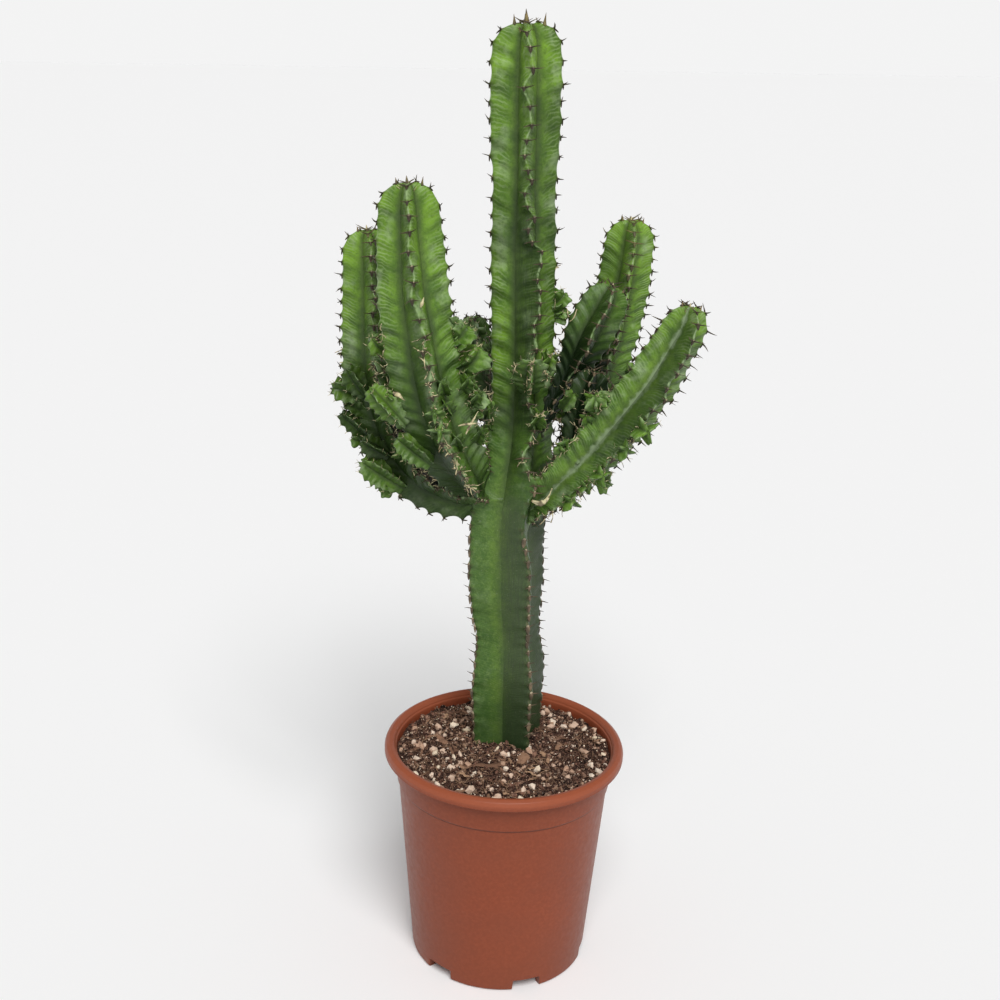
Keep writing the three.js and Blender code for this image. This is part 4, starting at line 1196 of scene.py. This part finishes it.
        # grey: the old skin's own grey, plus the look's grey on ribs 0 and 3, which is partly painted shade
        grey = np.clip(1 - layers["young"] / 0.3, 0, 1) + (number in (0, 3)) * self.along("grey", surface)
        soft = np.clip((t - 0.5) / 0.5, 0, 1) ** 2
        grey = grey * (1 - 0.3 * soft if side < 0 else 0.7 * soft)
        layers.update(flank=t, grey=grey, shade=np.minimum(shade, 1))
        return {key: np.broadcast_to(values, layers["streak"].shape) for key, values in layers.items()}

    def surface(self):
        """All of the stem's vertices, faces and attributes."""
        line = self.line
        surface = np.linspace(0, line.surface - 0.35, int(line.surface / self.shape["ring"]))
        points, layers = [], []
        for number in range(RIBS):
            for side, steps in ((1, FLANK_STEPS + (1,)), (-1, FLANK_STEPS[:0:-1])):
                p, a = self.flank(number + (side < 0), side, steps, surface)
                points.append(p)
                layers.append(a)
        points = np.concatenate(points, 1)
        rings, columns = points.shape[:2]
        ends = line.at(np.array([0.0, line.surface]))["centre"]
        vertices = np.concatenate([points.reshape(-1, 3), ends])
        faces = closed_faces(rings, columns, len(vertices) - 2, len(vertices) - 1)
        attributes = {}
        for key in layers[0]:
            values = np.concatenate([layer[key] for layer in layers], 1).reshape(-1)
            attributes[key] = np.concatenate([values, [values[0], values[-1]]])
        return vertices, faces, attributes

    def teeth(self, number):
        """The crest's points and directions at the teeth of one rib."""
        places = self.ribs[number].places
        places = places[(places > self.shape["bare"]) & (places < self.line.surface - 1.5)]
        places = places[table(self.look["rim"], places) > 0.5]
        points, ways = self.flank(number, 1, (0,), places)
        ways.update(young=table(self.look["young"], places), length=table(self.look["spine"], places))
        return points, ways


def offset_line(parent, rib, distance, length, radius, lean, turn):
    """A young stem that leaves its parent's rib and bends up along it."""
    place = parent.at(np.array([float(distance)]))
    angle, axis = place["turned"][0] + rib * TAU / RIBS, place["axis"][0]
    outward = place["front"][0] * math.cos(angle) + place["side"][0] * math.sin(angle)
    first, last = unit(outward + axis * 0.3 * lean), unit(outward + axis * 1.6 * lean)
    crest = place["centre"][0] + outward * place["radius"][0] * OFFSET_SEAT
    route = []
    for along, wide in OFFSET_PROFILE:
        heading = first * along + (last - first) * 0.5 * along ** 2
        route.append((*(crest + heading * length), wide * radius))
    return StemLine(route, [(0, turn), (1, turn + 14)], reference=axis, cap_share=OFFSET_CAP)


def shoot_line(start, end, radius, turn):
    """A leafy shoot from one place to another, which widens and narrows again."""
    start, way = np.array(start, float), np.subtract(end, start)
    route = [(*(start + way * along), wide * radius) for along, wide in SHOOT_PROFILE]
    return StemLine(route, [(0, turn), (1, turn + 10)], cap_share=SHOOT_CAP)


def balls_along(line):
    """Balls that fill a stem's core: places and radii."""
    places = line.at(np.linspace(0, line.surface - 1, int(line.surface / 4) + 2))
    return np.concatenate([places["centre"], CORE_SHARE * places["radius"][:, None]], 1)


def outside(points, balls, room):
    """Which points have that much room round them, away from all the balls."""
    away = np.linalg.norm(points[:, None] - balls[None, :, :3], axis=-1) - balls[None, :, 3]
    return (away > room).all(1)


# A part is its vertices, faces and attributes.

def join(parts):
    """One part from several."""
    vertices, faces, values, start = [], [], [], 0
    for part_vertices, part_faces, part_values in parts:
        vertices.append(part_vertices)
        faces += [np.asarray(f) + start for f in part_faces]
        values.append(part_values)
        start += len(part_vertices)
    keys = values[0].keys()
    return np.concatenate(vertices), faces, {k: np.concatenate([v[k] for v in values]) for k in keys}


def stem_piece(name, parts, material):
    if parts:
        vertices, faces, attributes = join(parts)
        new_piece(name, vertices, faces, material, "stem", **attributes)


def twigs(paths, radii, along, young=0.0, **options):
    """A part of tubes for the spines' materials: along from the foot to the tip, and how young."""
    vertices, faces, share = tubes(paths, radii, **options)
    young = np.repeat(np.broadcast_to(young, len(paths)), len(vertices) // len(paths))
    return vertices, faces, dict(along=along[0] + (along[1] - along[0]) * share, young=young)


def spikes(points, ways, rng, spread=1.35, rise=0.1, thick=0.4):
    """A pair of curved spines at each point."""
    paths, radii, count = [], [], len(points)
    shares = np.linspace(0, 1, 6)
    for sign in (-1, 1):
        splay = spread * rng.uniform(0.7, 1.3, (count, 1)) * sign
        lift = rise + rng.normal(0, 0.2, (count, 1))
        heading = unit(ways["outward"] * rng.uniform(0.4, 0.9, (count, 1))
                       + ways["sideward"] * splay + ways["upward"] * lift)
        length = ways["length"][:, None] * rng.uniform(0.7, 1.25, (count, 1))
        curl = ways["upward"] * rng.normal(0.05, 0.12, (count, 1))
        start = points - ways["outward"] * 0.35 + ways["sideward"] * sign * 0.25
        path = start[:, None] + heading[:, None] * (shares[:, None] * length[:, None])
        paths.append(path + curl[:, None] * (shares[:, None] ** 2 * length[:, None]))
        wide = thick * (length / 5) ** 0.7 * rng.uniform(0.8, 1.2, (count, 1))
        radii.append(wide * (1 - shares[None]) ** 0.75 + 0.045)
    return twigs(np.concatenate(paths), np.concatenate(radii), (0.15, 1), np.tile(ways["young"], 2))


def shields(points, ways, rng, length=2.1, width=1.0, thickness=0.5):
    """The horny pad under each pair of spines, drawn out down the rib."""
    template, faces = ball()
    up = template[:, 2]
    narrow = 1 - 0.45 * np.clip(-up, 0, 1)
    shape = np.stack([template[:, 0] * narrow, template[:, 1], up - 0.5], -1)
    size = rng.uniform(0.75, 1.25, (len(points), 1)) * (1 + 0.5 * (ways["young"][:, None] < 0.15))
    places = (
        points[:, None] - ways["outward"][:, None] * 0.25
        + ways["sideward"][:, None] * (shape[:, :1] * width * size[:, None])
        + ways["outward"][:, None] * (shape[:, 1:2] * thickness)
        + ways["upward"][:, None] * (shape[:, 2:] * length * size[:, None])
    )
    vertices, faces = copies(len(template), faces, places)
    along = np.tile(np.where(up > 0.4, 0.0, 0.15), len(points))
    return vertices, faces, dict(along=along, young=np.repeat(ways["young"], len(template)))


def spines_of(stem, keep, rng, pads=True, **options):
    """Spines and shields on all ribs of a stem, at the teeth where keep(points) says so."""
    parts = []
    for number in range(RIBS):
        points, ways = stem.teeth(number)
        kept = keep(points)
        if not kept.any():
            continue
        points, ways = points[kept], {key: value[kept] for key, value in ways.items()}
        parts.append(spikes(points, ways, rng, **options))
        if pads:
            parts.append(shields(points, ways, rng))
    return parts


def dried_spines(stem, rows, rng, steps=6):
    """Tan twigs, as of dried spines and flower stalks, standing any way on the ribs."""
    parts = []
    for number, low, high, count in rows:
        points, ways = stem.flank(number, 1, (0,), rng.uniform(low, high, count))
        points = points + ways["sideward"] * rng.normal(0, 1.3, (count, 1))
        heading = ways["outward"] * rng.uniform(0.3, 1.0, (count, 1))
        heading = unit(heading + rng.normal(0, 0.6, (count, 3)))
        bend = np.cumsum(rng.normal(0, 0.42, (count, steps, 3)), axis=1)
        length = rng.uniform(1.4, 5.0, (count, 1, 1)) * rng.uniform(0.6, 1.1, (count, 1, 1))
        path = np.cumsum((heading[:, None] + bend) * length / steps, axis=1)
        path = np.concatenate([np.zeros((count, 1, 3)), path], axis=1)
        path = path + (points - ways["outward"] * 0.6)[:, None]
        radii = rng.uniform(0.14, 0.38, (count, 1)) * rng.uniform(0.5, 1.4, (count, steps + 1))
        parts.append(twigs(path, radii, (0, 1)))
    return parts


def tip_size(line):
    """The radius of a stem's tip, and what it is against the main stem's."""
    radius = line.rows[-1, 3]
    return radius, radius / STEMS[MAIN]["route"][-1][3]


def growing_point(line, rng, count=14, sunk=1.2):
    """The tuft of young spines round a stem's growing point. The first of them is its leaf."""
    place, (radius, scale) = line.at(np.array([line.surface - 0.2])), tip_size(line)
    turn = rng.uniform(0, TAU, count)
    spoke = place["front"] * np.cos(turn)[:, None] + place["side"] * np.sin(turn)[:, None]
    away = radius * rng.uniform(0.04, 0.4, (count, 1))
    heading = unit(place["axis"] + spoke * rng.uniform(0.2, 1.6, (count, 1)))
    length = rng.uniform(1.6, 3.4, (count, 1)) * scale ** 0.5
    length[0], away[0] = LEAF_LENGTH * scale ** 3, 0
    heading[0] = unit(place["axis"][0] - 0.05 * place["side"][0])
    start = place["centre"] + spoke * away - place["axis"] * (sunk + 0.1 * away ** 1.5)
    shares = np.linspace(0, 1, len(LEAF_RADII))
    path = start[:, None] + heading[:, None] * (shares[:, None] * (length[:, None] + sunk))
    radii = rng.uniform(0.25, 0.5, (count, 1)) * (1 - shares ** 1.6) + 0.05
    radii[0] = np.array(LEAF_RADII) * scale
    return [twigs(path, radii, (0.1, 0.8), young=1.3)]


def horns(stem, rng):
    """A horn on each rib, beside the growing point."""
    line, (_, scale) = stem.line, tip_size(stem.line)
    axis, shares, parts = line.at(np.array([line.surface - 0.2]))["axis"][0], np.linspace(0, 1, 6), []
    for number, (way_out, size) in enumerate(HORNS):
        surface = np.interp(way_out, line.wide[::-1], line.over[::-1])
        points, ways = stem.flank(number, 1, (0,), np.array([surface]))
        heading = unit(axis + ways["outward"] * 0.35)
        length = size * scale ** 2.5 * rng.uniform(0.85, 1.1)
        bend = ways["outward"][:, None] * (shares[:, None] ** 2 * 0.3) * length
        path = (points - heading)[:, None] + heading[:, None] * shares[:, None] * (length + 1) + bend
        radii = 1.55 * scale * (1 - shares ** 0.8)[None] + 0.08
        parts.append(twigs(path, radii, (0.15, 1), young=1.12, sides=7))
    return parts


def tufts(skin):
    """Small bundles of dried spines, which grow from the skin's nearest points, towards the front."""
    parts, shares = [], np.linspace(0, 1, 5)
    for number, (place, count, length) in enumerate(TUFTS):
        rng = np.random.default_rng(SEEDS["tufts"] + number)
        heading = unit(rng.normal(0, 0.6, (count, 3)) + (0, -0.8, 0.4))
        start = np.array(place, float) + rng.normal(0, 0.9, (count, 3))
        nearest = [np.argmin(np.linalg.norm(skin - point, axis=1)) for point in start]
        start = skin[nearest] - 0.3 * heading
        length = length * rng.uniform(0.7, 1.2, (count, 1, 1))
        bend = rng.normal(0, 0.25, (count, 1, 3)) * (shares ** 2)[None, :, None]
        path = start[:, None] + (heading[:, None] * shares[:, None] + bend) * length
        radii = rng.uniform(0.32, 0.55, (count, 1)) * (1 - 0.75 * shares ** 2)
        parts.append(twigs(path, radii, (0, 0.3), sides=5))
    return parts


def flakes(steps=9):
    """Papery dead scales and a broken twig, which lie loose on the ribs."""
    parts, shares = [], np.linspace(0, 1, steps)
    for number, (points, width, flat) in enumerate(FLAKES):
        rng = np.random.default_rng(SEEDS["flakes"] + number)
        knots = np.linspace(0, 1, len(points))
        path = np.stack([np.interp(shares, knots, column) for column in np.array(points, float).T], -1)
        path = path + rng.normal(0, 0.05 * width, path.shape)
        radii = width / 2 * np.clip(1.15 - np.abs(2 * shares - 0.8), 0.15, 1)
        radii = radii * rng.uniform(0.75, 1.2, steps)
        parts.append(twigs(path[None], radii[None], (0, 0.5), flat=flat, reference=(0, -1, 0.4)))
    return parts


def surface_normals(vertices, faces):
    normals = np.zeros_like(vertices)
    for group in faces:
        corners = vertices[group]
        across = np.cross(corners[:, 2] - corners[:, 0], corners[:, -1] - corners[:, 1])
        for column in range(group.shape[1]):
            np.add.at(normals, group[:, column], across)
    return unit(normals + 1e-9)


def near_balls(points, balls, room):
    """The numbers of the points that lie within room of the ribs round any of the balls."""
    reach = RIB_REACH * balls[:, 3:] + room
    low, high = (balls[:, :3] - reach).min(0), (balls[:, :3] + reach).max(0)
    boxed = np.flatnonzero(((points > low) & (points < high)).all(1))
    near = np.zeros(len(boxed), bool)
    for place, far in zip(balls[:, :3], reach):
        near |= np.linalg.norm(points[boxed] - place, axis=1) < far
    return boxed[near]


def fill_forks(skins, cores):
    """Moves the surfaces out where two stems meet, so that they pass into each other in a soft
    hollow instead of a sharp edge. Gives the new vertices of each skin."""
    trees, moved = {}, {}
    for name, (vertices, faces, _) in skins.items():
        polygons = [face for group in faces for face in group.tolist()]
        trees[name] = BVHTree.FromPolygons(vertices.tolist(), polygons)
    for name, (vertices, faces, _) in skins.items():
        push = np.zeros(len(vertices))
        for other, tree in trees.items():
            for index in near_balls(vertices, cores[other], FILLET) if other != name else ():
                point = Vector(vertices[index])
                place, normal, _, away = tree.find_nearest(point, FILLET)
                if place is not None:
                    free = away if (point - place).dot(normal) > 0 else 0
                    push[index] = max(push[index], (FILLET - free) ** 2 / (4 * FILLET))
        moved[name] = vertices + surface_normals(vertices, faces) * push[:, None]
    return moved


def crowding(vertices, faces, balls):
    """How much of the view from each point is taken up by balls that stand round it."""
    normals, total = surface_normals(vertices, faces), np.zeros(len(vertices))
    for x, y, z, radius in balls:
        way = (x, y, z) - vertices
        away = np.linalg.norm(way, axis=1)
        facing = np.einsum("ij,ij->i", way, normals) / away
        total += np.clip(facing, 0, 1) * np.minimum(1, (radius / away) ** 2)
    return np.clip((CROWD_SHARE * total - CROWD_FREE) * CROWD_SHADE, 0, CROWD_MOST)


def bud_rows(name, rng):
    """Small buds between the offsets, as rows of OFFSETS."""
    rows = []
    for rib, low, high, count in BUDS.get(name, []):
        for distance in rng.uniform(low, high, count):
            size = rng.uniform(0.75, 1.3)
            rows.append((rib, distance, 8 * size, 5.6 * size, rng.uniform(0.3, 1.0), rng.uniform(0, 90)))
    return rows


def sprouts_of(name, line, index):
    """The offsets, buds and leafy shoots of a stem, each with how deep it lies in the shade."""
    rows = OFFSETS.get(name, []) + bud_rows(name, np.random.default_rng(SEEDS["buds"] + index))
    grown = [(offset_line(line, *row), 0) for row in rows]
    grown += [(shoot_line(*row), shade) for *row, shade in SHOOTS.get(name, [])]
    first = SEEDS["sprouts"] + SPROUT_SEEDS * index
    return [(RibbedStem(young_line, OFFSET_LOOK, OFFSET_SHAPE, first + number), shade)
            for number, (young_line, shade) in enumerate(grown)]


class Plant:
    """All stems with their skins, the balls along their cores, and the sprouts on them."""

    def __init__(self):
        self.stems, self.skins, self.cores, self.sprouts = {}, {}, {}, {}
        for index, (name, values) in enumerate(STEMS.items()):
            line = StemLine(**values)
            shape, meander = (STEM_SHAPE, MEANDER) if name == MAIN else (BRANCH_SHAPE, ())
            stem = RibbedStem(line, LOOKS[name], shape, SEEDS["stems"] + index, meander)
            self.stems[name], self.skins[name] = stem, stem.surface()
            self.cores[name], self.sprouts[name] = balls_along(line), sprouts_of(name, line, index)
        self.filled = fill_forks(self.skins, self.cores)
        sprouts = [sprout for rows in self.sprouts.values() for sprout, _ in rows]
        self.every_core = np.concatenate(list(self.cores.values()))
        self.every_sprout = np.concatenate([balls_along(sprout.line) for sprout in sprouts])

    def other_cores(self, name):
        return [core for other, core in self.cores.items() if other != name]

    def build_skin(self, name):
        _, faces, attributes = self.skins[name]
        crowd = np.concatenate([core[::3] for core in self.other_cores(name)])
        shade = attributes["shade"] + crowding(self.filled[name], faces, crowd)
        attributes["shade"] = np.minimum(shade, 1)
        new_piece(name + "_skin", self.filled[name], faces, SKIN, "stem", [name], **attributes)

    def build_spines(self, name, rng):
        """Gives the tuft at the growing point back, where it is dry: on the branches."""
        stem, others = self.stems[name], np.concatenate(self.other_cores(name) + [self.every_sprout])
        spines = spines_of(stem, lambda points: outside(points, others, SPINE_ROOM), rng)
        tuft = growing_point(stem.line, rng)
        spines += horns(stem, rng)
        fresh, dry = (tuft, []) if name == MAIN else ([], tuft)
        stem_piece(name + "_spines", spines + fresh, HORN)
        return dry

    def grow_sprouts(self, name, rng):
        """The skins of a stem's sprouts, and spines on some of their teeth."""
        def keep(points):
            return outside(points, self.every_core, SPROUT_ROOM) & (rng.uniform(size=len(points)) < SPINY)

        skins, spines = [], []
        for sprout, shade in self.sprouts[name]:
            vertices, faces, attributes = sprout.surface()
            attributes["streak"] = attributes["streak"] * 0.3
            attributes["shade"] = np.maximum(attributes["shade"], shade)
            skins.append((vertices, faces, attributes))
            spines += spines_of(sprout, keep, rng, pads=False, spread=0.6, rise=0.3, thick=0.26)
        return skins, spines

    def build(self):
        for index, name in enumerate(STEMS):
            rng = np.random.default_rng(SEEDS["spines"] + index)
            self.build_skin(name)
            tuft = self.build_spines(name, rng)
            dry = dried_spines(self.stems[name], DRIED.get(name, []), rng) + tuft
            if name == MAIN:
                dry += flakes()
            young, spines = self.grow_sprouts(name, rng)
            dry += spines
            if name == MAIN:
                dry += tufts(np.concatenate([self.filled[name]] + [part[0] for part in young]))
            stem_piece(name + "_offsets", young, SKIN)
            stem_piece(name + "_dry_spines", dry, DRY)


Plant().build()
